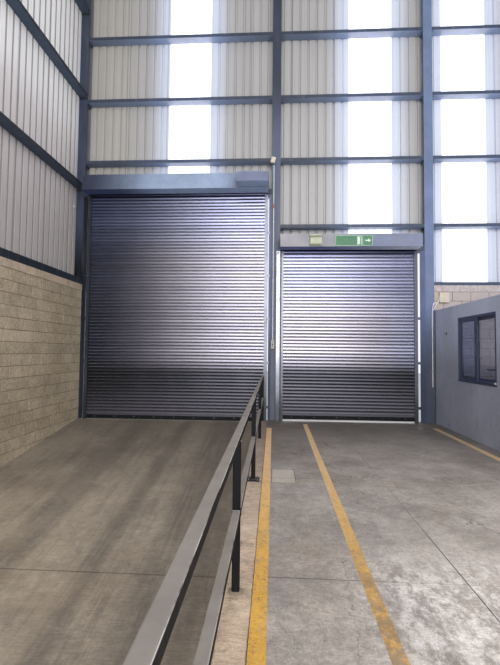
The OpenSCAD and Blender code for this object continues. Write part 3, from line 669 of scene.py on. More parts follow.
@dataclass(frozen=True)
class RampConcrete(Finish):
    """Brushed ramp concrete, browner than the floor, with tyre streaks."""

    dark: Colour = srgb(122, 112, 100)
    light: Colour = srgb(192, 178, 158)
    joint_y: float = -0.69
    tracks: tuple[tuple[float, float, float], ...] = (
        (-3.07, 0.07, 0.62), (-2.15, 0.42, 0.60), (-4.08, 0.19, 0.45))

    def paint(self, coat: Coat) -> None:
        """Paints the concrete, its streaks along the ramp, its joint, its stains, a painted light patch near
        the left and painted shade deeper in.

        Args:
            coat: The empty coat.
        """
        cloud, grit, soot = coat.noise(2.0, 6, 0.65), coat.noise(80, 3, 0.6), srgb(58, 52, 48)
        streak = coat.noise(1, 6, 0.62, (3.2, 0.28, 1), 0.5, spin=0.06)
        fine = coat.noise(1, 5, 0.65, (22, 0.7, 1), 0.4, spin=0.04)
        shade = (coat.noise(0.5, 6, 0.6, bend=0.5) * 0.25 + cloud * 0.2 + streak * 0.25 + fine * 0.15
                 + coat.noise(11, 5, 0.7) * 0.15)
        coat.start(coat.mix(coat.step(shade, 0.38, 0.62), self.dark, self.light))
        tyre = coat.step(streak, 0.50, 0.64) * coat.step(fine, 0.36, 0.6)
        coat.lay(tyre * 0.35, srgb(72, 65, 60))
        wander = coat.along(X) + (coat.noise(0.8, 5, 0.6) - 0.5) * 0.22
        patchy = 0.45 + coat.step(fine, 0.3, 0.65) * 0.55
        for middle, half, share in self.tracks:
            off = coat.math("ABSOLUTE", wander - middle)
            coat.lay(coat.step(off, half + 0.12, half * 0.5) * patchy * share, srgb(78, 71, 66))
        coat.tone(coat.spots(0.36, 0.64, 1, 4, 0.65, (4, 75, 1)), 0.92, 1.07)
        coat.tone(coat.spots(0.38, 0.62, 1, 6, 0.8, (26, 60, 1), 0.5), 0.82, 1.06)
        coat.lay(coat.spots(0.61, 0.68, 1, 4, 0.7, (60, 0.9, 1), 0.5, spin=0.05) * 0.4, soot)
        coat.lay(coat.spots(0.48, 0.7, 0.9, 4, 0.6, shift=(3, 8, 0)) * 0.35, srgb(140, 122, 102))
        # Painted light: a pale patch over the near left of the ramp.
        pale = coat.step(coat.along(X), -2.4, -4.6) * coat.step(coat.along(Y), 0.0, -3.4)
        coat.lay(pale * 0.3, srgb(206, 192, 178))
        pits = coat.spots(0.64, 0.72, 30, 4, 0.7)
        coat.lay(pits * 0.4, soot)
        coat.lay(coat.near(Y, self.joint_y, 0.006, 0.008) * 0.5, srgb(62, 54, 48))
        # Painted shade: the ramp darkens deeper into the hall.
        coat.lay(coat.step(coat.along(Y), -1.5, 4.4) * 0.60, dim(self.dark, 0.5))
        brush = coat.noise(1, 3, 0.6, (2, 120, 1))
        coat.surface(0.60 + grit * 0.2 - tyre * 0.12, grit * 0.6 + brush * 0.6 + cloud - pits, 0.0018, 0.6)


@dataclass(frozen=True)
class CastConcrete(Finish):
    """Cast concrete with blow holes, dirt runs and a tint of its own."""

    dark: Colour
    light: Colour
    grime: float = 0.4
    drifts: tuple[Drift, ...] = ()

    def paint(self, coat: Coat) -> None:
        """Paints the cast skin and the dirt in its hollows.

        Args:
            coat: The empty coat.
        """
        cloud, grit = coat.noise(7, 6, 0.65), coat.noise(90, 3, 0.6)
        shade = coat.step(coat.noise(1.1, 6, 0.62, bend=0.4) * 0.45 + cloud * 0.4 + grit * 0.15, 0.34, 0.66)
        coat.start(coat.mix(shade, self.dark, self.light), self.drifts)
        coat.lay(coat.spots(0.5, 0.74, 1, 5, 0.65, (6, 6, 0.8)) * self.grime, dim(self.dark, 0.5))
        coat.tone(coat.spots(0.36, 0.64, 1, 4, 0.7, (12, 90, 12)), 0.84, 1.10)
        coat.tone(coat.spots(0.38, 0.62, 70, 5, 0.8), 0.86, 1.10)
        coat.lay(coat.spots(0.58, 0.68, 13, 5, 0.72) * self.grime, dim(self.dark, 0.35))
        holes = coat.spots(0.65, 0.72, 42, 4, 0.75)
        coat.lay(holes * 0.5, dim(self.dark, 0.4))
        coat.surface(0.78 + grit * 0.12, cloud + grit * 0.5 - holes * 1.4, 0.003, 0.6)


@dataclass(frozen=True)
class BareBlock(Finish):
    """Bare concrete block: open grain, each block in its own tone."""

    low: Colour = srgb(144, 131, 110)
    middle: Colour = srgb(184, 168, 143)
    high: Colour = srgb(216, 198, 172)
    drifts: tuple[Drift, ...] = ()

    def paint(self, coat: Coat) -> None:
        """Paints each block in its tone with its open grain.

        Args:
            coat: The empty coat.
        """
        tint = coat.val("ShaderNodeAttribute", None, "Fac", attribute_name="tint")
        grain, pores = coat.noise(34, 5, 0.7), coat.spots(0.60, 0.70, 120, 3, 0.7)
        shade = tint * 0.06 + coat.noise(0.7, 5, 0.6) * 0.36 + grain * 0.26 + coat.noise(11, 6, 0.75) * 0.32
        coat.start(coat.val("ShaderNodeValToRGB", {"Fac": coat.step(shade, 0.30, 0.70)}, stops=(
            (0.0, self.low), (0.5, self.middle), (1.0, self.high))))
        coat.tone(coat.spots(0.38, 0.62, 22, 6, 0.8), 0.86, 1.10)
        holes = coat.spots(0.60, 0.68, 26, 5, 0.8)
        coat.lay(holes * 0.45, srgb(92, 82, 66))
        coat.lay(coat.spots(0.45, 0.7, 2.3, 4, 0.6, shift=(4, 4, 4)) * 0.25, srgb(130, 124, 114))
        coat.start(coat.colour, self.drifts)
        coat.lay(pores * 0.5, srgb(70, 60, 52))
        coat.surface(0.9, grain - pores * 0.8 - holes, 0.0035, 0.7)


@dataclass(frozen=True)
class Mortar(Finish):
    """Rubbed mortar in the joints of the blockwork."""

    def paint(self, coat: Coat) -> None:
        """Paints sandy mortar.

        Args:
            coat: The empty coat.
        """
        sand = coat.noise(150, 4, 0.7)
        shade = coat.step(sand * 0.4 + coat.noise(1.6, 4, 0.6) * 0.6, 0.35, 0.65)
        coat.start(coat.mix(shade, srgb(98, 86, 72), srgb(140, 124, 104)))
        coat.surface(0.92, sand, 0.002, 0.7)


@dataclass(frozen=True)
class WallPaint(Finish):
    """Emulsion on board, with roller texture, hand marks, drips below a window and a dirty foot."""

    colour: Colour
    foot: float
    drifts: tuple[Drift, ...] = ()

    def paint(self, coat: Coat) -> None:
        """Paints the wall, its marks and the dirt at its foot.

        Args:
            coat: The empty coat.
        """
        roller, lift = coat.noise(160, 3, 0.6), coat.along(Z)
        coat.start(self.colour, self.drifts)
        coat.tone(coat.spots(0.35, 0.68, 0.9, 5, 0.6), 0.88, 1.08)
        low = coat.step(lift, self.foot + 0.9, self.foot)
        marks = coat.spots(0.56, 0.72, 6, 6, 0.75) * (0.12 + low * 0.5)
        coat.lay(marks, srgb(72, 70, 74))
        coat.lay(coat.spots(0.68, 0.72, 14, 3, 0.6) * 0.6, srgb(52, 50, 54))
        drips = coat.spots(0.52, 0.72, 1, 4, 0.6, (8, 8, 0.5))
        below = coat.near(Y, 2.75, 0.5, 0.2) * coat.band(lift, 1.75, 2.50, 0.12)
        coat.lay(drips * (0.06 + below * 0.35), srgb(110, 108, 122))
        coat.surface(0.5 + roller * 0.12 + marks * 0.3, roller, 0.0008)


@dataclass(frozen=True)
class DarkMetal(Finish):
    """Powder-coated window metal."""

    colour: Colour

    def paint(self, coat: Coat) -> None:
        """Paints a fine powder coat with dust.

        Args:
            coat: The empty coat.
        """
        broad = coat.noise(5, 4, 0.6)
        coat.start(coat.mix(coat.step(broad, 0.3, 0.7), dim(self.colour, 0.75), dim(self.colour, 1.3)))
        coat.lay(coat.step(coat.facing(1), 0.4, 0.9) * 0.35, srgb(140, 134, 128))
        coat.surface(0.34 + broad * 0.12, coat.noise(420, 2, 0.5), 0.0002)


@dataclass(frozen=True)
class Pane(Finish):
    """Window glass with a grey-blue cast and smears."""

    colour: Colour
    drifts: tuple[Drift, ...] = ()

    def paint(self, coat: Coat) -> None:
        """Makes the glass clear, with faint smears in its gloss.

        Args:
            coat: The empty coat.
        """
        smear = coat.noise(6, 5, 0.65, (1, 1, 3))
        coat.start(self.colour, self.drifts)
        coat.tone(coat.step(smear, 0.35, 0.7), 0.9, 1.0)
        coat.surface(0.03 + coat.step(smear, 0.5, 0.8) * 0.08, Transmission_Weight=0.86, IOR=1.45)


@dataclass(frozen=True)
class Plastic(Finish):
    """Moulded plastic that has yellowed and taken dust."""

    colour: Colour
    rough: float = 0.42

    def paint(self, coat: Coat) -> None:
        """Paints the moulding with dust in its texture.

        Args:
            coat: The empty coat.
        """
        shade = coat.spots(0.3, 0.72, 9, 4, 0.6)
        coat.start(coat.mix(shade, dim(self.colour, 0.84), dim(self.colour, 1.06, 0.92)))
        dirt = coat.spots(0.56, 0.74, 22, 5, 0.7) * 0.22
        coat.lay(dirt, srgb(110, 102, 90))
        coat.surface(self.rough + dirt * 0.4, coat.noise(300, 2, 0.5), 0.0002, 0.4)


@dataclass(frozen=True)
class Rubber(Finish):
    """Black rubber seal, bloomed and dusty."""

    def paint(self, coat: Coat) -> None:
        """Paints the rubber and its bloom.

        Args:
            coat: The empty coat.
        """
        bloom = coat.noise(12, 4, 0.6)
        coat.start(coat.mix(coat.step(bloom, 0.4, 0.75) * 0.5, srgb(34, 34, 36), srgb(82, 80, 80)))
        coat.surface(0.7 + bloom * 0.15, bloom, 0.0006)


@dataclass(frozen=True)
class PaleFloor(Finish):
    """Plain pale studio floor."""

    colour: Colour = (0.74, 0.74, 0.73)

    def paint(self, coat: Coat) -> None:
        """Paints the floor almost white, with a faint grain."""
        coat.start(coat.mix(coat.noise(3, 3, 0.5), dim(self.colour, 0.99), self.colour))
        coat.surface(0.9)


def strip_glow(reach: float, colour: Colour, strength: float) -> tuple[Drift, ...]:
    """Gives the painted light of the translucent strips: a paler tone that reaches past their edges."""
    return tuple(Drift(X, 0.50 + reach, 0.50, colour, strength, middle)
                 for middle in (-3.2235, 1.0675, 3.2125))


# Painted light: the recess behind a column's front flange is painted paler than the steel.
RECESS_LIGHT = Drift(Y, 4.541, 4.547, srgb(150, 150, 156), 0.85)
# The corner column darkens below 4.8 m, and its recess is painted paler as painted light.
CORNER_STEEL = SatinPaint("corner_steel_paint", srgb(66, 73, 92), gloss=0.06, drifts=(
    Drift(Z, 6.4, 4.8, srgb(20, 22, 27)), Drift(Y, 4.541, 4.547, srgb(132, 130, 134), 0.85)))
# Painted shade and light: the jambs are a darker copy of the frame paint, paler from the right jamb of door 1
# on, and towards dark slate at the foot.
JAMB_PAINT = SatinPaint("jamb_paint", srgb(30, 33, 44), gloss=0.06, drifts=(
    Drift(X, -3.5, -1.4, srgb(116, 124, 156)), Drift(X, 1.9, 2.05, srgb(100, 112, 146)),
    Drift(Z, 4.2, 2.4, srgb(44, 48, 60), 0.7)))
# Painted shade and light: the frame paint darkens towards the top and turns paler towards the foot.
STEEL = SatinPaint("frame_steel_paint", srgb(76, 86, 112), drifts=(
    Drift(Z, 7.4, 9.6, srgb(44, 52, 74)), Drift(Z, 3.4, 2.0, srgb(92, 96, 110), 0.6), RECESS_LIGHT))
# Painted light and shade: the right column is a paler, bluer copy of the frame paint, standing for haze on
# it, and it darkens towards its foot.
RIGHT_STEEL = SatinPaint("right_steel_paint", srgb(106, 122, 162), drifts=(
    Drift(Z, 6.6, 8.4, srgb(104, 124, 158), 0.8), Drift(Z, 4.6, 2.6, srgb(46, 52, 68), 0.9), RECESS_LIGHT))
# Painted light: the girts turn paler beside the translucent strips, and their undersides are painted lighter,
# palest beside the strips.
GIRT_STEEL = SatinPaint(
    "girt_steel_paint", srgb(46, 55, 74), rust=0.35, drifts=strip_glow(0.9, srgb(66, 80, 110), 0.8),
    under=srgb(124, 140, 166), under_drifts=(strip_glow(1.6, srgb(150, 168, 204), 0.9)
                                             + strip_glow(0.05, srgb(170, 176, 200), 0.9)))
# Painted light: the undersides of the side steel are painted lighter than its faces.
SIDE_STEEL = SatinPaint("side_steel_paint", srgb(45, 51, 62), gloss=0.1, under=srgb(84, 96, 116))
# Painted light: the end sheets turn paler beside the translucent strips and take a paler, cooler tone in bay
# 3.
END_SHEET = WallSheet("end_wall_sheet", srgb(170, 166, 160), X, 4.736, -5.781, drifts=(
    Drift(X, -5.2, -4.1, srgb(170, 168, 169)), Drift(X, 2.2, 2.6, srgb(184, 184, 196)),
    *strip_glow(0.58, srgb(216, 224, 244), 0.92)))
# Painted shade: the rib flanks of the side wall are darkened strongly.
SIDE_SHEET = WallSheet("side_wall_sheet", srgb(222, 215, 216), Y, -5.881, 2.15, flank_shade=0.72, drifts=(
    Drift(Z, 7.6, 5.4, srgb(186, 178, 176), 0.8), Drift(Z, 7.4, 8.6, srgb(250, 248, 250))))
SKY_SHEET = Daylight("translucent_sheet")
ZINC = Zinc("galvanised_steel", slot=Slot.GALVANISED)
# The outer guides are dark; the guide post beside door 2 has a painted highlight and, at the mouth of its
# guide, a painted shadow line; the guides darken towards the foot.
GUIDE_ZINC = Zinc("guide_steel", srgb(136, 136, 147), srgb(100, 101, 112), (
    Drift(X, -5.30, -5.40, srgb(34, 36, 46)), Drift(X, 1.90, 1.98, srgb(70, 74, 90)),
    Drift(X, 0.045, 0.036, srgb(178, 178, 188), 0.8, -1.067),
    Drift(X, 0.020, 0.014, srgb(34, 36, 46), 0.9, -1.006), Drift(Z, 3.2, 2.4, srgb(52, 54, 62), 0.6),
    Drift(Z, 2.3, 1.8, srgb(26, 28, 34), 0.7)))
# Painted light: hood 1 is dark at its left end and paler from the middle on, standing for glare; its
# underside is painted a lighter blue, palest from the middle on.
HOOD_BLUE = SatinPaint(
    "hood_paint", srgb(60, 66, 82), dusty=0.35, rough=0.8, stain=0.10, gloss=0.0, slot=Slot.HOOD_PAINT,
    drifts=(Drift(X, -5.4, -3.3, srgb(164, 181, 210)), Drift(X, -2.5, -1.8, srgb(128, 135, 162))),
    under=srgb(84, 98, 140), under_drifts=(Drift(X, -5.0, -3.2, srgb(188, 214, 255)),))
# Hood 2 is pale and stained at its left; towards the right it is painted bluer, standing for haze, and its
# underside is painted light blue, paler towards the right, as painted light.
HOOD_PALE = SatinPaint(
    "pale_hood_paint", srgb(182, 179, 188), dusty=0.4, rough=0.75, stain=0.4, gloss=0.05, slot=Slot.PALE_HOOD,
    drifts=(Drift(X, -0.95, -0.2, srgb(166, 166, 174)), Drift(X, 0.0, 1.2, srgb(133, 140, 166))),
    under=srgb(140, 156, 214), under_drifts=(Drift(X, -0.4, 1.9, srgb(224, 234, 255)),))
# The rail's full dust on its upper faces is dust and also painted light on the tops.
RAIL_PAINT = SatinPaint("rail_paint", srgb(20, 20, 23), srgb(144, 137, 131), dusty=1.0, stain=0.05,
                        rust=0.15, worn=0.8, gloss=0.06, slot=Slot.RAIL_STEEL)
PLATE_PAINT = SatinPaint("plate_paint", srgb(17, 17, 19), dusty=0.15, rough=0.55, stain=0.05, rust=0.3,
                         gloss=0.06, slot=Slot.RAIL_STEEL)
BAR_PAINT = SatinPaint("bottom_bar_paint", srgb(20, 21, 25), dusty=0.15, stain=0.05, gloss=0.06,
                       slot=Slot.SHUTTER)
# Painted shade: the kerb darkens deeper into the hall.
KERB_CAST = CastConcrete("kerb_concrete", srgb(164, 143, 122), srgb(214, 191, 168), 0.5, (
    Drift(Y, -1.6, 3.8, srgb(122, 104, 100), 0.75),), slot=Slot.KERB)
# Painted light: in bay 3 the coping takes a paler, cooler lilac tone.
COPING_CAST = CastConcrete("coping_concrete", srgb(178, 160, 140), srgb(216, 196, 174), 0.4, (
    Drift(X, 2.3, 2.6, srgb(188, 180, 186), 0.85),))
BED_CAST = CastConcrete("bed_concrete", srgb(104, 98, 92), srgb(140, 133, 125))
FLOOR = FloorConcrete("floor_concrete", slot=Slot.CONCRETE)
RAMP = RampConcrete("ramp_concrete", slot=Slot.CONCRETE)
# Painted light: in bay 3 the blocks take a cooler lilac tone.
BLOCK = BareBlock("bare_block", drifts=(Drift(X, 2.4, 2.6, srgb(186, 176, 182), 0.75),), slot=Slot.BLOCKWORK)
MORTAR = Mortar("mortar", slot=Slot.BLOCKWORK)
PARTITION = WallPaint("partition_paint", srgb(174, 179, 198), 1.526, (
    Drift(Z, 2.7, 3.7, srgb(204, 212, 236)),))
WINDOW = DarkMetal("window_metal", srgb(58, 68, 100), slot=Slot.WINDOW_METAL)
# Painted light: the nearer pane is paler, standing for a brighter view through it, and the glass darkens
# towards its foot.
GLASS = Pane("window_glass", srgb(140, 154, 182), (
    Drift(Y, 2.72, 2.64, srgb(182, 188, 204)), Drift(Z, 3.05, 2.7, srgb(120, 130, 152), 0.8)))
BLACK = Rubber("black_rubber")
WHITE = Plastic("white_plastic", srgb(216, 212, 202))
CREAM = Plastic("cream_plastic", srgb(206, 196, 178))
GREY_CASE = Plastic("grey_case_plastic", srgb(146, 140, 136))
PALE = Plastic("conduit_plastic", srgb(236, 238, 244))
LAMP_BODY = Plastic("lamp_body", srgb(168, 170, 148), 0.55)
LENS = Plastic("lamp_lens", srgb(172, 178, 150), 0.5)
GREEN = Plastic("sign_green", srgb(54, 122, 84), 0.6, slot=Slot.HOOD_PAINT)
SIGN_MARK = Plastic("sign_mark", srgb(196, 214, 204), 0.35)
TAPE = Plastic("orange_tape", srgb(214, 92, 52), 0.4)
RED = Plastic("button_red", srgb(150, 44, 38), 0.35)
BUTTON_GREEN = Plastic("button_green", srgb(52, 112, 66), 0.35)


def settle(piece: bpy.types.Object, finish: Finish, *stands_for: str, slot: Optional[Slot] = None) -> None:
    """Gives a finished piece its material and its body.

    Args:
        piece: The object, in its place.
        finish: The finish of its faces.
        stands_for: CAD nodes that the piece takes the place of.
        slot: Not used.
    """
    if not piece.data.materials:
        piece.data.materials.append(finish.material())
    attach(piece, "root")
    if stands_for:
        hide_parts(*stands_for)
    LOG.info("%s: %d faces", piece.name, len(piece.data.polygons))


def dress(finish: Finish, *nodes: str) -> None:
    """Puts a finish on CAD nodes that stay as they are.

    Args:
        finish: The finish.
        nodes: Names of the CAD nodes.
    """
    for name in nodes:
        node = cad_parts[name]
        if not node.material_slots:
            node.data.materials.append(None)
        for place in node.material_slots:
            place.material = finish.material()
        LOG.info("%s dressed in %s", name, finish.name)


class Shape:
    """Collects solids in one mesh before it becomes a piece."""

    def __init__(self) -> None:
        """Starts an empty mesh."""
        self.bm = bmesh.new()

    def box(self, low: Point3, high: Point3, bevel: float = 0.0, segments: int = 2) -> "Shape":
        """Adds a box between two corners, with its edges rounded.

        Args:
            low: The lowest corner.
            high: The highest corner.
            bevel: Width of the rounding, none at 0.
            segments: Faces across the rounding.

        Returns:
            This shape.
        """
        made = bmesh.ops.create_cube(self.bm, size=1.0)["verts"]
        for vert in made:
            vert.co = Vector([(a + b) / 2 + c * (b - a) for a, b, c in zip(low, high, vert.co)])
        if bevel:
            edges = {edge for vert in made for edge in vert.link_edges}
            bmesh.ops.bevel(self.bm, geom=list(edges), offset=bevel, segments=segments,
                            affect="EDGES", profile=0.5)
        return self

    def plate(self, *corners: float, bevel: float = 0.002) -> "Shape":
        """Adds a plate from its low and high x, y and z, with narrow rounded edges."""
        return self.box(corners[::2], corners[1::2], bevel, 1)

    def skin(self, rings: list[list[bmesh.types.BMVert]]) -> "Shape":
        """Closes a run of rings of corners into a solid.

        Args:
            rings: The rings, each with as many corners.

        Returns:
            This shape.
        """
        for first, second in zip(rings, rings[1:]):
            for i in range(len(first)):
                j = (i + 1) % len(first)
                self.bm.faces.new((first[i], first[j], second[j], second[i]))
        for cap in (rings[0][::-1], rings[-1]):
            self.bm.faces.new(cap)
        return self

    def section(self, outline: Sequence[Pair], axis: Axis, start: float, end: float,
                stations: int = 1) -> "Shape":
        """Draws an outline out along an axis into a closed solid.

        Args:
            outline: Corners in the plane of the two other axes, in their order.
            axis: The axis along which it is drawn.
            start: Where it begins.
            end: Where it ends.
            stations: Number of stretches along the axis.

        Returns:
            This shape.
        """
        places = (start + (end - start) * k / stations for k in range(stations + 1))
        return self.skin([[self.bm.verts.new(point(axis, place, *corner)) for corner in outline]
                          for place in places])

    def rod(self, start: Point3, end: Point3, radius: float, sides: int = 16,
            end_radius: Optional[float] = None) -> "Shape":
        """Adds a round bar or cone between two points.

        Args:
            start: Middle of the first end.
            end: Middle of the other end.
            radius: Radius at the first end.
            sides: Faces round it.
            end_radius: Radius at the other end, the same if left out.

        Returns:
            This shape.
        """
        a, b = Vector(start), Vector(end)
        turn = (b - a).to_track_quat("Z", "Y").to_matrix().to_4x4()
        bmesh.ops.create_cone(
            self.bm, cap_ends=True, segments=sides, radius1=radius,
            radius2=radius if end_radius is None else end_radius, depth=(b - a).length,
            matrix=Matrix.Translation((a + b) / 2) @ turn)
        return self

    def tube(self, points: Sequence[Point3], radius: float, sides: int = 12) -> "Shape":
        """Draws a round tube through points that share one y plane.

        Args:
            points: Points on the tube's middle line.
            radius: Its radius.
            sides: Faces round it.

        Returns:
            This shape.
        """
        spots, rings, side = [Vector(p) for p in points], [], Vector((0, 1, 0))
        for k, spot in enumerate(spots):
            ahead = (spots[min(k + 1, len(spots) - 1)] - spots[max(k - 1, 0)]).normalized()
            other = ahead.cross(side)
            turns = (2 * math.pi * j / sides for j in range(sides))
            rings.append([self.bm.verts.new(spot + (side * math.cos(a) + other * math.sin(a)) * radius)
                          for a in turns])
        return self.skin(rings)

    def object(self, name: str, smooth: Optional[float] = None) -> bpy.types.Object:
        """Ends the shape as an object with outward faces.

        Args:
            name: Name of the object.
            smooth: Largest angle in degrees that is shaded smooth, flat if left out.

        Returns:
            The linked object.
        """
        bmesh.ops.recalc_face_normals(self.bm, faces=self.bm.faces[:])
        mesh = bpy.data.meshes.new(name)
        self.bm.to_mesh(mesh)
        self.bm.free()
        if smooth is not None:
            mesh.shade_smooth()
            mesh.set_sharp_from_angle(angle=math.radians(smooth))
        made = bpy.data.objects.new(name, mesh)
        bpy.context.scene.collection.objects.link(made)
        return made

    def piece(self, name: str, finish: Finish, *stands_for: str, smooth: Optional[float] = None,
              slot: Optional[Slot] = None) -> None:
        """Ends the shape as a finished piece, as object and settle do."""
        settle(self.object(name, smooth), finish, *stands_for, slot=slot)


@dataclass(frozen=True)
class Spot:
    """Where one copy of a repeated part goes."""

    at: Point3
    turn: Point3 = (0.0, 0.0, 0.0)
    stretch: Point3 = (1.0, 1.0, 1.0)


class Head(Enum):
    """Fastener heads that look towards -y: the reach, radius, sides and end radius of each step."""

    FRAME_BOLT = ((0.002, 0.015, 12), (0.012, 0.010, 6))
    SHEET_SCREW = ((0.003, 0.0085, 8), (0.008, 0.0045, 6))
    BAR_BOLT = ((0.0045, 0.009, 12, 0.005),)
    GUIDE_BOLT = ((0.005, 0.010, 12, 0.006),)
    RIVET = ((0.003, 0.006, 10, 0.0033),)
    COVER_SCREW = ((0.003, 0.005, 8),)
    SIGN_SCREW = ((0.002, 0.003, 8),)
    CASE_SCREW = ((0.002, 0.0045, 10),)
    PLATE_BOLT = ((0.002, 0.012, 12), (0.011, 0.009, 6), (0.020, 0.005, 10))

    def make(self) -> bpy.types.Object:
        """Makes the head about its seat, with a domed one shaded smooth.

        Returns:
            The loose head.
        """
        shape, seat = Shape(), 0.0
        for reach, *round_bar in self.value:
            shape.rod((0, -seat, 0), (0, -reach, 0), *round_bar)
            seat = reach
        return shape.object("head", 40 if len(self.value[0]) == 4 else None)


class Repeater:
    """A Geometry Nodes tree that repeats a part, with the identifiers of its inputs."""

    def __init__(self, name: str, **inputs: str) -> None:
        """Starts a tree.

        Args:
            name: Name of the tree.
            inputs: Kind of each input by its name.
        """
        self.tree = bpy.data.node_groups.new(name, "GeometryNodeTree")
        sockets = self.tree.interface
        for way in ("INPUT", "OUTPUT"):
            sockets.new_socket("Geometry", in_out=way, socket_type="NodeSocketGeometry")
        self.keys = {key: sockets.new_socket(key, in_out="INPUT", socket_type="NodeSocket" + kind).identifier
                     for key, kind in inputs.items()}
        self.graph = Graph(self.tree)
        self.entry = self.graph.node("NodeGroupInput")

    def given(self, name: str) -> Val:
        """Gives one of the tree's inputs as a value."""
        return Val(self.graph, self.entry.outputs[name])

    def copies(self, points: Val, **placing: Val) -> Val:
        """Sets a copy of the part on every point, with its rotation and scale if they are given."""
        part = self.graph.val("GeometryNodeObjectInfo", {"Object": self.given("Part")}, "Geometry")
        return self.graph.val("GeometryNodeInstanceOnPoints", {"Points": points, "Instance": part, **placing})

    def close(self, copies: Val, wave: Optional[Val] = None) -> None:
        """Gives every copy its own tint, joins and coats the copies and ends the tree.

        Args:
            copies: The placed copies.
            wave: A push for every corner, if there is one.
        """
        graph = self.graph
        tint = graph.val("FunctionNodeRandomValue", {"Seed": self.given("Seed") + 2}, 1, data_type="FLOAT")
        tinted = graph.val("GeometryNodeStoreNamedAttribute", {0: copies, "Name": "tint", "Value": tint},
                           data_type="FLOAT", domain="INSTANCE")
        whole = graph.val("GeometryNodeRealizeInstances", {0: tinted})
        if wave is not None:
            whole = graph.val("GeometryNodeSetPosition", {0: whole, "Offset": wave})
        coated = graph.val("GeometryNodeSetMaterial", {0: whole, "Material": self.given("Finish")})
        graph.node("NodeGroupOutput", {0: coated})

    def apply(self, carrier: bpy.types.Object, part: bpy.types.Object, **values: object) -> None:
        """Runs the tree, keeps the result as the carrier's plain mesh and removes the loose part.

        Args:
            carrier: The object whose mesh the tree reads.
            part: The part that is repeated.
            values: The tree's other inputs by name.
        """
        modifier = carrier.modifiers.new(self.tree.name, "NODES")
        modifier.node_group = self.tree
        for name, value in values.items():
            modifier[self.keys[name]] = value
        modifier[self.keys["Part"]] = part
        graph = bpy.context.evaluated_depsgraph_get()
        mesh = bpy.data.meshes.new_from_object(carrier.evaluated_get(graph), depsgraph=graph)
        carrier.modifiers.clear()
        carrier.data = mesh
        for spare in ("turn", "stretch"):
            if mesh.attributes.get(spare):
                mesh.attributes.remove(mesh.attributes[spare])
        bpy.data.objects.remove(part)


class PartSetter(Repeater):
    """Sets copies of a part on spots, each a little shifted and turned."""

    def __init__(self) -> None:
        """Builds the tree."""
        super().__init__("set_parts_on_spots", Part="Object", Shift="Vector", Twist="Vector",
                         Seed="Int", Finish="Material")
        graph = self.graph
        turn, stretch = (graph.val("GeometryNodeInputNamedAttribute", {"Name": name}, "Attribute",
                                   data_type="FLOAT_VECTOR") for name in ("turn", "stretch"))
        placed = self.copies(self.given("Geometry"), Scale=stretch,
                             Rotation=graph.val("FunctionNodeEulerToRotation", {0: turn}))
        moved = graph.val("GeometryNodeTranslateInstances", {
            0: placed, "Translation": self.spread("Shift", 0)})
        self.close(graph.val("GeometryNodeRotateInstances", {0: moved, "Rotation": self.spread("Twist", 1)}))

    def spread(self, reach: str, draw: int) -> Val:
        """Gives a random vector within plus or minus an input, from the draw of that number.

        Args:
            reach: Name of the input.
            draw: Number of the draw.

        Returns:
            The vector.
        """
        low = self.graph.val("ShaderNodeVectorMath", {0: self.given(reach), "Scale": -1.0}, operation="SCALE")
        return self.graph.val("FunctionNodeRandomValue", {
            0: low, 1: self.given(reach), "Seed": self.given("Seed") + draw}, data_type="FLOAT_VECTOR")

    def set(self, name: str, part: bpy.types.Object, spots: Sequence[Spot], finish: Finish, *stands_for: str,
            shift: Point3 = (0, 0, 0), twist: Point3 = (0, 0, 0), seed: int = 1) -> None:
        """Sets a part on every spot and settles the copies as one piece.

        Args:
            name: Name of the piece.
            part: The part, about its own origin.
            spots: Where the copies go.
            finish: Their finish.
            stands_for: CAD nodes that the piece takes the place of.
            shift: Largest random shift.
            twist: Largest random turn.
            seed: Seed of the irregularity.
        """
        mesh = bpy.data.meshes.new(name)
        mesh.from_pydata([spot.at for spot in spots], [], [])
        for key in ("turn", "stretch"):
            layer = mesh.attributes.new(key, "FLOAT_VECTOR", "POINT")
            layer.data.foreach_set("vector", [c for spot in spots for c in getattr(spot, key)])
        carrier = bpy.data.objects.new(name, mesh)
        bpy.context.scene.collection.objects.link(carrier)
        self.apply(carrier, part, Shift=shift, Twist=twist, Seed=seed, Finish=finish.material())
        settle(carrier, finish, *stands_for)


class LathStacker(Repeater):
    """Hangs laths under each other, each a little tilted and wavy."""

    def __init__(self) -> None:
        """Builds the tree."""
        super().__init__("hang_laths", Part="Object", Count="Int", Pitch="Float", Tilt="Float",
                         Wave="Float", Seed="Int", Finish="Material")
        graph, tilt = self.graph, self.given("Tilt")
        drop = graph.val("ShaderNodeCombineXYZ", {2: self.given("Pitch") * -1})
        line = graph.val("GeometryNodeMeshLine", {"Count": self.given("Count"), "Offset": drop},
                         mode="OFFSET")
        lean = graph.val("FunctionNodeRandomValue", {2: tilt * -1, 3: tilt, "Seed": self.given("Seed")}, 1,
                         data_type="FLOAT")
        turned = graph.val("GeometryNodeRotateInstances", {
            0: self.copies(line), "Rotation": graph.val("ShaderNodeCombineXYZ", {0: lean})})
        ripple = graph.val("ShaderNodeTexNoise", {
            "Vector": graph.val("GeometryNodeInputPosition"), "Scale": 1.7, "Detail": 3.0})
        self.close(turned, graph.val("ShaderNodeCombineXYZ", {1: (ripple - 0.5) * self.given("Wave")}))


class Hall:
    """Planes of the hall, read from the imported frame, and the tree that sets its small parts."""

    def __init__(self) -> None:
        """Reads the planes from the boxes of the nodes."""
        self.setter = PartSetter()
        self.floor_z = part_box("floor_slab")[1].z
        self.landing_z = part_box("ramp_slab")[1].z
        self.top_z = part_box("corner_column")[1].z
        self.side_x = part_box("corner_column")[0].x
        self.face_y, self.wall_y = (corner.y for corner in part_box("middle_column"))


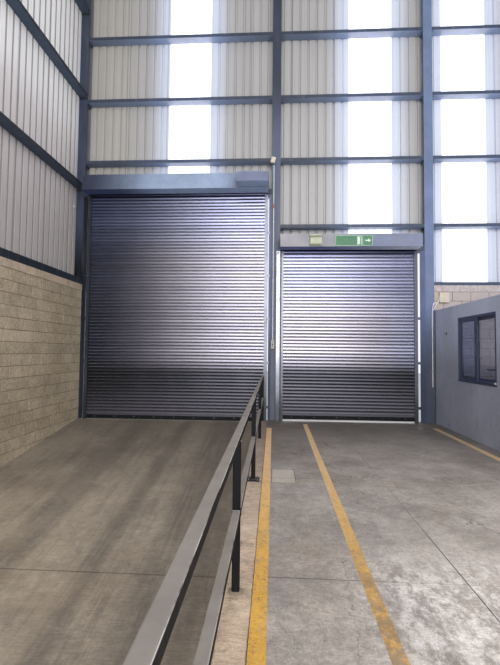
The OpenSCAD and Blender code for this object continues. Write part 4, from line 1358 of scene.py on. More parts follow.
@dataclass(frozen=True)
class Lamp:
    """A soft lamp: where it hangs and looks, its face, power and colour.

    With sheen True only gloss shows it, and with sheen False gloss doesn't.
    """

    name: str
    at: Point3
    to: Point3
    size: Pair
    watts: float
    colour: Colour = (0.98, 0.99, 1.0)
    sheen: Optional[bool] = None

    def hang(self) -> None:
        """Adds the lamp to the scene."""
        light = bpy.data.lights.new(self.name, "AREA")
        light.shape = "RECTANGLE"
        light.size, light.size_y = self.size
        light.energy, light.color = self.watts, self.colour
        made = bpy.data.objects.new(self.name, light)
        made.location = self.at
        made.rotation_euler = (Vector(self.to) - Vector(self.at)).to_track_quat("-Z", "Y").to_euler()
        made.visible_camera = False
        made.visible_diffuse = self.sheen is not True
        made.visible_glossy = self.sheen is not False
        bpy.context.scene.collection.objects.link(made)


@dataclass
class Studio:
    """Camera, lamps, world and floor."""

    camera_at: Point3 = (-1.16115, -5.06685, 3.09122)
    focal_px: float = 419.2
    photo_px: int = 665
    film_mm: float = 36.0
    yaw: float = 3.22
    pitch: float = 2.52
    roll: float = 0.60
    sky: Colour = (0.985, 0.985, 1.0)
    paper: Colour = (1.0, 1.0, 1.0)
    fill: float = 0.70
    shade: float = 0.10
    lamps: tuple[Lamp, ...] = (
        Lamp("key", (-0.7, -20.0, 8.5), (-0.7, 4.0, 6.0), (11.5, 17.0), 2000.0, sheen=False),
        Lamp("sheen", (-0.7, -19.5, 8.5), (-0.7, 4.0, 6.0), (11.5, 17.0), 8200.0, sheen=True),
        Lamp("near", (2.6, -9.0, 8.5), (0.8, -2.6, 1.5), (6.0, 5.0), 560.0, (1.0, 0.98, 0.95)))

    def set_camera(self) -> None:
        """Puts the camera where the photograph was taken."""
        yaw, pitch, roll = (math.radians(a) for a in (self.yaw, self.pitch, self.roll))
        ahead = Vector((-math.sin(yaw) * math.cos(pitch), math.cos(yaw) * math.cos(pitch), math.sin(pitch)))
        right = Vector((math.cos(yaw), math.sin(yaw), 0.0))
        up = right.cross(ahead)
        right, up = (right * math.cos(roll) + up * math.sin(roll),
                     up * math.cos(roll) - right * math.sin(roll))
        lens = bpy.data.cameras.new("photo_view")
        lens.sensor_fit, lens.sensor_width = "AUTO", self.film_mm
        lens.lens = self.film_mm * self.focal_px / self.photo_px
        lens.clip_start, lens.clip_end = 0.05, 300.0
        camera = bpy.data.objects.new("photo_view", lens)
        turned = Matrix((right, up, -ahead)).transposed().to_4x4()
        camera.matrix_world = Matrix.Translation(self.camera_at) @ turned
        bpy.context.scene.collection.objects.link(camera)
        bpy.context.scene.camera = camera

    def set_world(self) -> None:
        """Makes the world white to look at and soft as a light."""
        world = bpy.data.worlds.new("studio")
        world.use_nodes = True
        world.node_tree.nodes.clear()
        graph = Graph(world.node_tree)
        camera, gloss, clear = (graph.val("ShaderNodeLightPath", None, f"Is {ray} Ray")
                                for ray in ("Camera", "Glossy", "Transmission"))
        way = graph.val("ShaderNodeTexCoord", None, "Generated")
        ahead, lift = (graph.val("ShaderNodeSeparateXYZ", {0: way}, axis.value) for axis in (Y, Z))
        dim_front = graph.step(ahead * -1, 0.1, 0.45) * graph.step(lift, 0.95, 0.7) * gloss * (1 - self.shade)
        soft, white = (graph.val("ShaderNodeBackground", {"Color": colour, "Strength": strength})
                       for colour, strength in ((self.sky, self.fill), (self.paper, 1 - dim_front)))
        seen = graph.high(camera, graph.high(gloss, clear))
        both = graph.val("ShaderNodeMixShader", {0: seen, 1: soft, 2: white})
        graph.node("ShaderNodeOutputWorld", {"Surface": both})
        bpy.context.scene.world = world

    def build(self) -> None:
        """Sets the whole studio."""
        bpy.context.scene.view_settings.view_transform = "Standard"
        self.set_camera()
        self.set_world()
        for lamp in self.lamps:
            lamp.hang()
        floor = Shape().box((-60, -60, -0.05), (60, 60, -0.002)).object("studio_floor")
        floor.data.materials.append(PaleFloor("pale_floor").material())


def steps(start: float, end: float, pitch: float) -> Iterator[float]:
    """Gives places at a pitch, for as long as they lie before the end.

    Args:
        start: The first place.
        end: The end.
        pitch: From one place to the next.

    Returns:
        The places.
    """
    while start < end:
        yield start
        start += pitch


@dataclass
class Assembly:
    """A sub-assembly of the hall, with its sizes as fields."""

    hall: Hall

    def fasten(self, name: str, head: Head, spots: Sequence[Spot], seed: int = 1,
               twist: Point3 = (0, 0, 0)) -> None:
        """Sets galvanised fastener heads as one piece.

        Args:
            name: Name of the piece.
            head: The kind of head.
            spots: Where the heads go.
            seed: Seed of their tints and turns.
            twist: Largest random turn.
        """
        self.hall.setter.set(name, head.make(), spots, ZINC, twist=twist, seed=seed)


@dataclass
class Groundworks(Assembly):
    """Floor panels, ramp panels, kerb and the beds below them."""

    joint: float = 0.0016
    edge: float = 0.0005
    crust: float = 0.05
    shortest: float = 0.2
    kerb_parts: int = 260
    chips: int = 110
    chip_depth: float = 0.015
    chip_h: float = 0.03
    chip_in: float = 0.02

    def panels(self, low: float, high: float, cuts: Sequence[float]) -> list[Pair]:
        """Splits a stretch at its saw cuts.

        Args:
            low: Start of the stretch.
            high: End of the stretch.
            cuts: Middles of the cuts.

        Returns:
            Start and end of each panel.
        """
        edges = [low, *(cut for cut in cuts if low + self.shortest < cut < high - self.shortest), high]
        half = self.joint / 2
        return [(a + (half if a != low else 0), b - (half if b != high else 0))
                for a, b in zip(edges, edges[1:])]

    def floor(self) -> None:
        """Lays the raised floor in sawn panels on a closed bottom layer."""
        low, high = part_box("floor_slab")
        seat = high.z - self.crust
        shape = Shape().box(low, (high.x, high.y, seat))
        for x0, x1 in self.panels(low.x, high.x, FLOOR.cuts_x):
            for y0, y1 in self.panels(low.y, high.y, FLOOR.cuts_y):
                shape.box((x0, y0, seat), (x1, y1, high.z), self.edge, 1)
        shape.piece("floor_panels", FLOOR, "floor_slab")

    def ramp(self) -> None:
        """Lays the ramp and its landing in panels on a closed bottom layer."""
        low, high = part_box("ramp_slab")
        kerb, kerb_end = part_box("retaining_kerb")
        bed, landing_y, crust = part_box("ramp_bed")[1].z, kerb_end.y, self.crust
        fall, seat = bed / (landing_y - low.y), high.z - crust
        shape = Shape().section(
            [(low.y, 0.0), (landing_y, bed), (high.y, bed), (high.y, seat), (landing_y, seat),
             (low.y, high.z - bed - crust)], X, low.x, kerb.x)
        for y0, y1 in self.panels(low.y, landing_y, (RAMP.joint_y,)):
            z0, z1 = (high.z - (landing_y - y) * fall for y in (y0, y1))
            shape.section([(y0, z0 - crust), (y1, z1 - crust), (y1, z1), (y0, z0)], X, low.x, kerb.x)
        shape.box((low.x, landing_y + self.joint, seat), (kerb.x, high.y, high.z), self.edge, 1)
        shape.box((kerb.x, landing_y + 0.001, bed), (kerb_end.x, high.y, high.z))
        shape.piece("ramp_panels", RAMP, "ramp_slab")

    def kerb(self) -> None:
        """Casts the kerb with worn, chipped upper edges."""
        low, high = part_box("retaining_kerb")
        middle, top, draw = (low.x + high.x) / 2, high.z, random.Random(14)
        deep_z, chip_z, round_z, narrow, wide = top - 0.6, top - 0.02, top - 0.012, 0.006, 0.018
        shape = Shape().section([
            (low.x, low.z), (low.x, deep_z), (low.x, chip_z), (low.x, round_z), (low.x + narrow, top),
            (low.x + wide, top), (middle, top), (high.x - wide, top), (high.x - narrow, top),
            (high.x, round_z), (high.x, chip_z), (high.x, low.z)], Y, low.y, high.y, self.kerb_parts)
        hits = [(draw.uniform(low.y, high.y), draw.choice((low.x, high.x)), draw.uniform(0.02, 0.09),
                 draw.uniform(0.3, 1.0)) for _ in range(self.chips)]
        for vert in shape.bm.verts:
            x, y, z = vert.co
            near_edge = max(0.0, 1 - (top - z) / self.chip_h)
            if not near_edge or min(x - low.x, high.x - x) > self.chip_in:
                continue
            side, way = (low.x, 1) if x < middle else (high.x, -1)
            depth = max(0.0, *(force * (1 - abs(y - at) / reach)
                               for at, edge, reach, force in hits if edge == side))
            depth *= self.chip_depth * near_edge * draw.uniform(0.6, 1.0)
            vert.co = x + way * depth, y, z - depth * 0.7
        shape.piece("kerb_cast", KERB_CAST, "retaining_kerb", smooth=50)

    def build(self) -> None:
        """Builds the ground and dresses the beds."""
        self.floor()
        self.ramp()
        self.kerb()
        dress(BED_CAST, "floor_bed", "ramp_bed")


@dataclass
class Blockwork(Assembly):
    """Both dado walls: blocks in running bond, mortar behind their faces."""

    length: float = 0.390
    height: float = 0.200
    joint: float = 0.010
    rounding: float = 0.004
    recess: float = 0.004
    halves: float = 0.06

    def courses(self, start: float, end: float, low: float, high: float,
                first: int) -> list[tuple[float, float, float, float]]:
        """Lays blocks in half bond from the top down.

        Args:
            start: Where the wall begins along its length.
            end: Where it ends.
            low: Foot of the wall.
            high: Top of the wall.
            first: 1 if the top course begins with a half block.

        Returns:
            Middle along, middle up, length and height of every block.
        """
        laid, module, half = [], self.length + self.joint, self.joint / 2
        top, row, draw = high - half, first, random.Random(first + 6)
        while top - low > 0.02:
            foot = max(low + 0.001, top - self.height)
            for place in steps(start - (module / 2 if row % 2 else 0), end, module):
                a, b = max(place + half, start), min(place + module - half, end)
                middle = (a + b) / 2
                split = b - a > self.length - 0.001 and draw.random() < self.halves
                laid += [((c + d) / 2, (foot + top) / 2, d - c, top - foot)
                         for c, d in (((a, middle - half), (middle + half, b)) if split else ((a, b),))
                         if d - c > 0.03]
            top -= self.height + self.joint
            row += 1
        return laid

    def wall(self, name: str, node: str, runs: Sequence[Pair], across: Axis, seed: int) -> None:
        """Builds a wall of blocks and its mortar.

        Args:
            name: Name of the blocks' piece.
            node: The CAD node that it stands for.
            runs: Stretches of the wall between columns.
            across: The axis through the wall.
            seed: Seed of the blocks' irregularity.
        """
        low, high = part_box(node)
        back, face = low[across.value], high[across.value]
        spots, core = [], Shape()
        for k, (start, end) in enumerate(runs):
            spots += [Spot(point(across, (face + back) / 2, at, up),
                           stretch=point(across, 1.0, length / self.length, height / self.height))
                      for at, up, length, height in self.courses(start, end, low.z, high.z, k)]
            core.box(point(across, back + self.recess, start + 0.001, low.z),
                     point(across, face - self.recess, end - 0.001, high.z))
        half = point(across, (face - back) / 2, self.length / 2, self.height / 2)
        block = Shape().box([-h for h in half], half, self.rounding, 1).object("block")
        self.hall.setter.set(name, block, spots, BLOCK, node, shift=point(across, 0.0015, 0.0006, 0.0006),
                             twist=(0.002, 0.002, 0.003), seed=seed)
        core.piece(name + "_mortar", MORTAR)

    def build(self) -> None:
        """Builds both dado walls and dresses their coping."""
        (side, side_end), (corner, corner_end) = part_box("side_dado"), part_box("corner_column")
        column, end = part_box("side_columns")[1].y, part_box("end_dado")
        runs = [(side.y, column - (corner_end.x - corner.x)), (column, side_end.y)]
        self.wall("side_blocks", "side_dado", runs, X, 3)
        self.wall("end_blocks", "end_dado", [(end[0].x, end[1].x)], Y, 5)
        dress(COPING_CAST, "coping_beams")


@dataclass
class SteelFrame(Assembly):
    """Columns, girts and rails, with the bolts of the shelf angles that carry the girts."""

    girt_h: float = 0.076
    end_rises: tuple[float, ...] = (3.161, 4.495, 6.065, 7.565, 9.110)
    side_rises: tuple[float, ...] = (5.465, 7.705, 9.800)
    shelf_t: float = 0.006
    bolt_in: float = 0.045
    bolt_out: float = 0.036

    def shelf_bolts(self) -> None:
        """Bolts every girt to its shelf angles, from below."""
        hall, inner, spots = self.hall, self.bolt_in, []

        columns = [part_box(name + "_column") for name in ("corner", "middle", "right", "end")]
        for (_, left), (right, _), lowest in zip(columns, columns[1:], (2, 1, 1)):
            spots += [(x, y, rise) for rise in self.end_rises[lowest:]
                      for x in (left.x + self.bolt_out, right.x - self.bolt_out)
                      for y in (hall.face_y + inner, hall.wall_y - inner)]
        side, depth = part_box("side_columns")[1].y, hall.wall_y - hall.face_y
        spots += [(x, y, rise) for rise in self.side_rises
                  for y in (side + self.bolt_out, hall.face_y - self.bolt_out)
                  for x in (hall.side_x + inner, hall.side_x + depth - inner)]
        self.fasten("shelf_bolts", Head.FRAME_BOLT, [
            Spot((x, y, hall.floor_z + rise - self.girt_h - self.shelf_t), (math.pi / 2, 0.0, 0.0))
            for x, y, rise in spots], 4, (0, 0, 0.3))

    def build(self) -> None:
        """Dresses the steel and sets the bolts."""
        dress(CORNER_STEEL, "corner_column", "end_column")
        dress(JAMB_PAINT, "door_jambs")
        dress(STEEL, "middle_column")
        dress(RIGHT_STEEL, "right_column")
        dress(SIDE_STEEL, "side_columns", "side_girts")
        dress(GIRT_STEEL, "end_girts_bay_1", "end_girts_bay_2", "end_girts_bay_3", "eaves_rails",
              "door_lintels")
        dress(STEEL, "hood_end_plates")
        self.shelf_bolts()


@dataclass
class Cladding(Assembly):
    """Ribbed sheets, translucent sheets and the corner flashing."""

    pitch: float = 0.200
    sheet_t: float = 0.0012
    girt_drop: float = 0.038
    edge: float = 0.090
    end_rises: tuple[float, ...] = (3.161, 4.495, 6.065, 7.565, 9.110)
    side_rises: tuple[float, ...] = (3.185, 5.465, 7.705, 9.800, 10.51)

    def screws(self) -> None:
        """Drives screws through the pans of the sheets at every girt, from outside."""
        hall, spots = self.hall, []
        low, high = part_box("side_cladding")[0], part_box("cladding_bay_3")[1]
        middle, right = (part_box(name)[0].x for name in ("middle_column", "right_column"))
        rises = [hall.floor_z + rise - self.girt_drop for rise in self.end_rises]
        for x in steps(hall.side_x + self.pitch / 2, high.x - 0.05, self.pitch):
            start = (x <= right) + (x <= middle)
            spots += [Spot((x, hall.wall_y + self.sheet_t, z), (0.0, 0.0, math.pi))
                      for z in rises[start:] + [hall.top_z - self.edge]]
        for y in steps(low.y + self.pitch, hall.wall_y - 0.1, self.pitch):
            spots += [Spot((hall.side_x - self.sheet_t, y, hall.floor_z + rise - self.girt_drop),
                           (0.0, 0.0, -math.pi / 2)) for rise in self.side_rises]
        self.fasten("cladding_screws", Head.SHEET_SCREW, spots, 9, (0.02, 0.02, 0.02))

    def build(self) -> None:
        """Dresses the sheets and drives their screws."""
        dress(END_SHEET, "cladding_bay_1", "cladding_bay_2", "cladding_bay_3", "corner_flashing")
        dress(SIDE_SHEET, "side_cladding")
        dress(SKY_SHEET, "translucent_sheets")
        self.screws()


@dataclass
class Shutters(Assembly):
    """Both roller shutters: laths, bottom bars, guides and rolls."""

    pitch: float = 0.075
    bow: float = 0.005
    thick: float = 0.0015
    bead: float = 0.0055
    clear: float = 0.0008
    tilt: float = 0.003
    wave: float = 0.0018
    stations: int = 14
    bar_h: float = 0.090
    bar_t: float = 0.005
    seal_h: float = 0.012
    bar_bolts: float = 0.45
    bolt_pitch: float = 0.50
    bolt_off: float = 0.018
    bolt_foot: float = 0.33
    bolt_top: float = 0.3

    def lath(self, width: float) -> bpy.types.Object:
        """Makes one lath of a width below its own origin, along x.

        Args:
            width: Length of the lath.

        Returns:
            The loose lath.
        """
        face, back, turns, curve = [], [], 8, 12
        for k in range(turns + 1):
            angle = math.pi * k / turns
            out, drop = self.bead * math.sin(angle), -self.bead * (1 - math.cos(angle))
            face.append((-out, drop))
            back.append((self.thick + out, drop))
        run = self.pitch - 2 * self.bead
        for k in range(1, curve + 1):
            u = k / curve
            hollow = 4 * self.bow * u * (1 - u)
            drop = -2 * self.bead - u * run + (self.clear if k == curve else 0)
            face.append((hollow, drop))
            back.append((hollow + self.thick, drop))
        return Shape().section(face + back[::-1], X, -width / 2, width / 2, self.stations).object("lath", 48)

    def curtain(self, stacker: LathStacker, door: int, seed: int) -> None:
        """Hangs the curtain of one door.

        Args:
            stacker: The tree that repeats the laths.
            door: Number of the door.
            seed: Seed of its irregularity.
        """
        low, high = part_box(f"door_{door}_curtain")
        face_y = low.y + self.bead
        count = int((high.z - low.z - self.bead) / self.pitch)
        # Painted light and shade on the laths: darker towards the left of door 1 and paler towards the right
        # of door 2, as their reflections fade and brighten; a bluer haze over the upper laths; darker near
        # the foot; and the shadow of the hood over the top laths.
        finish = LathPaint(
            f"lath_paint_{door}", srgb(104, 101, 110), low.z - 0.2, low.z + 0.9, high.z, self.pitch, (
                Drift(X, -3.2, -5.4, srgb(53, 56, 73)), Drift(X, 1.0, 1.9, srgb(112, 113, 132)),
                Drift(Z, high.z - 1.8, high.z - 0.6, srgb(88, 95, 122), 0.5),
                Drift(Z, low.z + 1.40, low.z + 0.95, srgb(42, 42, 48)),
                Drift(Z, high.z - 0.30, high.z - 0.18, srgb(34, 38, 60), 0.85)), slot=Slot.SHUTTER)
        carrier = Shape().box((0, 0, 0), (0.001, 0.001, 0.001)).object(f"door_{door}_laths")
        stacker.apply(carrier, self.lath(high.x - low.x), Count=count, Pitch=self.pitch, Tilt=self.tilt,
                      Wave=self.wave, Seed=seed, Finish=finish.material())
        carrier.data.transform(Matrix.Translation(((low.x + high.x) / 2, face_y, high.z)))
        settle(carrier, finish, f"door_{door}_curtain")
        last, foot, front, back = high.z - count * self.pitch, low.z - 0.01, face_y - 0.001, face_y + 0.002
        strip = Shape().section([(front, foot), (front, last), (back, last), (back, foot)],
                                X, low.x, high.x, self.stations)
        strip.piece(f"door_{door}_end_lath", finish)

    def bars(self) -> None:
        """Builds the T-shaped bottom bars with their bolts and rubber seals."""
        steel, rubber, bolts = Shape(), Shape(), []
        low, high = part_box("bottom_bars")
        middle = (low.y + high.y) / 2
        front, back = middle - self.bar_t, middle + self.bar_t
        for door, foot in ((1, low.z), (2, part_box("door_2_curtain")[0].z - self.bar_h)):
            a, b = (corner.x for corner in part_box(f"door_{door}_curtain"))
            seal, top = foot + self.seal_h, foot + self.bar_h
            web = seal + self.bar_t
            steel.section([(low.y, seal), (high.y, seal), (high.y, web), (back, web), (back, top),
                           (front, top), (front, web), (low.y, web)], X, a, b)
            rubber.section([(middle - 0.012, seal), (middle - 0.009, foot + 0.003), (middle, foot),
                            (middle + 0.009, foot + 0.003), (middle + 0.012, seal)], X, a, b)
            count = int((b - a) / self.bar_bolts)
            bolts += [Spot((a + (k + 0.5) * (b - a) / count, front, foot + self.bar_h * 0.62))
                      for k in range(count)]
        steel.piece("shutter_bottom_bars", BAR_PAINT, "bottom_bars")
        rubber.piece("shutter_seals", BLACK, slot=Slot.SHUTTER)
        self.fasten("bar_bolts", Head.BAR_BOLT, bolts, 2)

    def guide_bolts(self) -> None:
        """Sets the bolts that hold the guides to their brackets."""
        face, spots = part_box("door_guides")[0].y, []
        for door, foot in ((1, self.hall.landing_z), (2, self.hall.floor_z)):
            a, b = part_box(f"door_{door}_curtain")
            spots += [Spot((x, face, z)) for x in (a.x - self.bolt_off, b.x + self.bolt_off)
                      for z in steps(foot + self.bolt_foot, b.z - self.bolt_top, self.bolt_pitch)]
        self.fasten("guide_bolts", Head.GUIDE_BOLT, spots, 8)

    def build(self) -> None:
        """Builds both shutters and dresses their guides."""
        stacker = LathStacker()
        self.curtain(stacker, 1, 11)
        self.curtain(stacker, 2, 23)
        self.bars()
        self.guide_bolts()
        dress(GUIDE_ZINC, "door_guides", "guide_post", "guide_brackets")
        # The rolls are painted much darker than the laths: painted shade inside the hoods.
        dress(LathPaint("roll_paint", srgb(44, 46, 60), 0.0, 1.0, 0.0, self.pitch), "curtain_rolls")


@dataclass
class Hoods(Assembly):
    """Sheet hoods over the shutters, the motor cover, the lamp and the exit sign."""

    rivet_pitch: float = 0.30
    rivet_in: float = 0.018
    rivet_end: float = 0.04
    seam_pitch: float = 1.25
    seam_w: float = 0.032
    seam_t: float = 0.0025
    seam_under: float = 0.30
    seam_edge: float = 0.0008
    last_seam: float = 0.2
    sign_x: Pair = (0.160, 0.976)
    sign_rise: Pair = (0.006, 0.250)
    sign_t: float = 0.010
    divider_x: float = 0.752
    door_x: Pair = (0.640, 0.732)
    arrow_x: Pair = (0.812, 0.926)

    def rivets(self) -> None:
        """Rivets the edges of both hoods and laps their sheets."""
        spots, reach, thick = [], self.seam_w, self.seam_t
        for door, finish in ((1, HOOD_BLUE), (2, HOOD_PALE)):
            low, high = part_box(f"door_{door}_hood")
            seams, tall = Shape(), high.z - low.z
            for k in range(1, int((high.x - low.x) / self.seam_pitch) + 1):
                x = low.x + k * self.seam_pitch
                if x > high.x - self.last_seam:
                    continue
                seams.plate(x, x + reach, low.y - thick, low.y, low.z, high.z, bevel=self.seam_edge)
                seams.plate(x, x + reach, low.y, low.y + self.seam_under, low.z - thick, low.z,
                            bevel=self.seam_edge)
                spots += [Spot((x + reach / 2, low.y - thick, low.z + rise))
                          for rise in (self.rivet_end, tall / 2, tall - self.rivet_end)]
            seams.piece(f"door_{door}_hood_laps", finish)
            spots += [Spot((x, low.y, z)) for x in steps(low.x + self.rivet_end, high.x, self.rivet_pitch)
                      for z in (low.z + self.rivet_in, high.z - self.rivet_in)]
        self.fasten("hood_rivets", Head.RIVET, spots, 12)

    def motor(self) -> None:
        """Builds the motor cover with a lid flange and screws."""
        low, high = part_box("motor_cover")
        lap, lid_t, rounding, edge = 0.012, 0.014, 0.006, 0.003
        body = Shape().box(low, (high.x, high.y, high.z - lap), rounding)
        body.box((low.x, low.y, high.z - lid_t), high, edge, 1)
        body.piece("motor_cover_case", HOOD_BLUE, "motor_cover")
        middle, inner, outer = (low.x + high.x) / 2, 0.15, 0.03
        self.fasten("motor_screws", Head.COVER_SCREW, [
            Spot((x, low.y, high.z - lid_t / 2))
            for x in (low.x + outer, middle - inner, middle + inner, high.x - outer)])

    def lamp(self) -> None:
        """Builds the emergency lamp: a back tray, a domed lens, a lid and its clips."""
        low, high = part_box("emergency_light")
        lid, seat, rim = high.z - 0.050, high.y - 0.026, high.y - 0.02
        tray = Shape().box((low.x, high.y - 0.028, low.z), high, 0.006)
        tray.box((low.x, low.y + 0.004, lid), (high.x, rim, high.z), 0.008)
        for x in (low.x + 0.035, high.x - 0.035):
            tray.plate(x - 0.009, x + 0.009, low.y + 0.014, rim, low.z, low.z + 0.014, bevel=0.003)
        tray.piece("lamp_tray", LAMP_BODY, "emergency_light")
        arc = [(seat, low.z + 0.010)]
        for k in range(13):
            angle = math.pi * k / 12
            arc.append((seat - (seat - low.y) * math.sin(angle) ** 0.5,
                        (low.z + 0.012 + lid - 0.002) / 2 - (lid - 0.014 - low.z) / 2 * math.cos(angle)))
        arc.append((seat, lid))
        Shape().section(arc, X, low.x + 0.006, high.x - 0.006).piece("lamp_lens", LENS, smooth=50)

    def sign(self) -> None:
        """Hangs a plain exit plate: a rim, a door opening and an arrow, no lettering."""
        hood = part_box("door_2_hood")[0]
        (x0, x1), (z0, z1) = self.sign_x, (hood.z + rise for rise in self.sign_rise)
        front = hood.y - self.sign_t
        Shape().plate(x0, x1, front, hood.y, z0, z1).piece("exit_plate", GREEN)
        marks, face, rim, inset, bar = Shape(), front - 0.0008, 0.006, 0.008, 0.012
        left, right, low, high = x0 + inset, x1 - inset, z0 + inset, z1 - inset
        (d0, d1), split, foot, head = self.door_x, self.divider_x, z0 + 0.030, z1 - 0.030
        for a, b, c, d in ((left, right, low, low + rim), (left, right, high - rim, high),
                           (left, left + rim, low, high), (right - rim, right, low, high),
                           (split, split + rim, low, high), (d0, d0 + bar, foot, head),
                           (d1 - bar, d1, foot, head), (d0, d1, z1 - 0.042, head)):
            marks.box((a, face, c), (b, front, d))
        marks.section([(0.653, foot), (0.698, z0 + 0.046), (0.698, z1 - 0.058), (0.653, z1 - 0.042)],
                      Y, face, front)
        (tail, tip), z, half, shaft = self.arrow_x, (z0 + z1) / 2, 0.042, bar
        neck = tip - 0.048
        marks.section([(tail, z - shaft), (neck, z - shaft), (neck, z - half), (tip, z), (neck, z + half),
                       (neck, z + shaft), (tail, z + shaft)], Y, face, front)
        marks.piece("exit_marks", SIGN_MARK)
        self.fasten("sign_screws", Head.SIGN_SCREW, [
            Spot((x, front, z)) for x in (x0 + 0.004, x1 - 0.004) for z in (z0 + 0.004, z1 - 0.004)])

    def build(self) -> None:
        """Dresses the hoods and hangs the lamp and the sign."""
        dress(HOOD_BLUE, "door_1_hood")
        dress(HOOD_PALE, "door_2_hood")
        self.rivets()
        self.motor()
        self.lamp()
        self.sign()


@dataclass
class GuardRail(Assembly):
    """Tube rail along the kerb: rounded tubes, weld beads, collars and a bolted plate."""

    rounding: float = 0.005
    posts_y: tuple[float, ...] = (-4.65685, -2.27685, 0.10315, 2.48315, 4.37615)
    plate_post: int = 2
    weld_r: float = 0.0035
    plate_t: float = 0.012

    def weld(self, shape: Shape, half: float, centre: Point3, along: Axis) -> None:
        """Runs a weld bead round the end of a tube.

        Args:
            shape: The shape that it goes into.
            half: Half the width of the tube.
            centre: Middle of the joint.
            along: The axis along which the tube runs.
        """
        corners = [Vector(centre) + Vector(point(along, 0.0, a * half, b * half))
                   for a, b in ((-1, -1), (1, -1), (1, 1), (-1, 1))]
        for a, b in zip(corners, corners[1:] + corners[:1]):
            shape.rod(a, b, self.weld_r, 6)

    def build(self) -> None:
        """Builds the posts, the rails, the welds and the plate."""
        low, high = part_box("guard_rails")
        width, middle, foot = high.x - low.x, (low.x + high.x) / 2, self.hall.floor_z
        half, seat = width / 2, high.z - width
        rails, posts, welds, collars = Shape(), Shape(), Shape(), Shape()
        rails.box((low.x, low.y, seat), high, self.rounding)
        for a, b in zip(self.posts_y, self.posts_y[1:]):
            rails.box((low.x, a + half, low.z), (high.x, b - half, low.z + width), self.rounding)
        for k, y in enumerate(self.posts_y):
            base = self.plate_t if k == self.plate_post else 0
            posts.box((low.x, y - half, foot), (high.x, y + half, seat), self.rounding)
            if not base:
                collars.rod((middle, y, foot), (middle, y, foot + self.plate_t), 2.1 * half, 14, 1.5 * half)
            self.weld(welds, half, (middle, y, seat), Z)
            self.weld(welds, half, (middle, y, foot + base), Z)
            for side in (y - half, y + half):
                if low.y < 2 * side - y < high.y:
                    self.weld(welds, half, (middle, side, low.z + half), Y)
        rails.piece("rail_tubes", RAIL_PAINT, "guard_rails")
        posts.piece("rail_posts", RAIL_PAINT, "guard_rail_posts")
        welds.piece("rail_welds", RAIL_PAINT, smooth=60)
        collars.piece("post_collars", MORTAR, smooth=50, slot=Slot.KERB)
        self.plate()

    def plate(self) -> None:
        """Bolts the base plate of the spliced post to the kerb."""
        low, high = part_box("guard_rail_posts")
        reach, y, foot = (high.x - low.x) / 2, self.posts_y[self.plate_post], self.hall.floor_z
        top, middle, bolt_out = foot + self.plate_t, (low.x + high.x) / 2, reach * 0.72
        plate = Shape().plate(low.x, high.x, y - reach, y + reach, foot, top, bevel=0.0015)
        plate.piece("rail_plate", PLATE_PAINT)
        self.fasten("plate_bolts", Head.PLATE_BOLT, [
            Spot((middle + a * bolt_out, y + b * bolt_out, top), (-math.pi / 2, 0.0, 0.0))
            for a in (-1, 1) for b in (-1, 1)], 3)


@dataclass
class OfficePartition(Assembly):
    """Painted partition with its sliding window, trims and hook."""

    gasket: float = 0.006
    stile: float = 0.090
    hook_at: Pair = (3.923, 3.495)
    pull_z: Pair = (3.06, 3.20)
    latch_y: Pair = (2.05, 2.31)
    latch_z: Pair = (2.800, 2.836)

    def gaskets(self) -> None:
        """Runs rubber gaskets round both panes, on both faces."""
        shape, g = Shape(), self.gasket
        low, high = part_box("window_glass")
        middle = sum(corner.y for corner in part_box("window_sashes")) / 2
        for y0, y1, x in ((middle + 0.025, high.y, low.x + 0.0025), (low.y, middle - 0.025, high.x - 0.0025)):
            for side in (-1, 1):
                a, b = sorted((x + side * 0.0025, x + side * 0.0085))
                for c, d, e, f in ((y0, y1, low.z, low.z + g), (y0, y1, high.z - g, high.z),
                                   (y0, y0 + g, low.z, high.z), (y1 - g, y1, low.z, high.z)):
                    shape.box((a, c, e), (b, d, f))
        shape.piece("window_gaskets", BLACK, slot=Slot.WINDOW_METAL)

    def furniture(self) -> None:
        """Adds the pull, the latch, the sill trim and the hook on the wall."""
        (low, high), (sash, sash_top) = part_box("window_frame"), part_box("window_sashes")
        metal, hook, middle, half = Shape(), Shape(), (low.y + high.y) / 2, self.stile / 2
        metal.plate(low.x - 0.010, low.x, low.y - 0.012, high.y + 0.012, low.z - 0.006, low.z + 0.012)
        metal.plate(sash.x - 0.003, sash.x, middle - half, middle + half, sash.z, sash_top.z, bevel=0.001)
        metal.box((sash.x - 0.012, middle - 0.012, self.pull_z[0]),
                  (sash.x - 0.003, middle + 0.012, self.pull_z[1]), 0.003)
        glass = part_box("window_glass")[0].x
        metal.plate(glass - 0.008, glass, *self.latch_y, *self.latch_z)
        metal.piece("window_furniture", WINDOW)
        wall, (y, z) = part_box("office_partition")[0].x, self.hook_at
        root, tip, bar = wall - 0.004, wall - 0.040, 0.005
        hook.plate(root, wall, y - 0.018, y + 0.018, z - 0.030, z + 0.030, bevel=0.0015)
        hook.rod((root, y, z + 0.008), (tip, y, z - 0.006), bar, 10)
        hook.rod((tip, y, z - 0.008), (tip, y, z + 0.022), bar, 10)
        Shape().box((low.x - 0.012, low.y + 0.020, low.z + 0.030), (low.x, low.y + 0.075, low.z + 0.062),
                    0.004).piece("partition_latch", WHITE)
        hook.piece("partition_hook", BLACK, smooth=50, slot=Slot.WINDOW_METAL)

    def seal(self) -> None:
        """Closes the gap between the partition and the right column with a rubber strip."""
        edge, (low, high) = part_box("right_column")[1].x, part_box("office_partition")
        strip = Shape().plate(edge, low.x, high.y - 0.012, high.y, low.z, high.z)
        strip.piece("partition_seal", BLACK, slot=Slot.PARTITION_PAINT)

    def build(self) -> None:
        """Dresses the partition and its window."""
        dress(PARTITION, "office_partition")
        dress(WINDOW, "window_frame", "window_sashes")
        dress(GLASS, "window_glass")
        self.gaskets()
        self.furniture()
        self.seal()


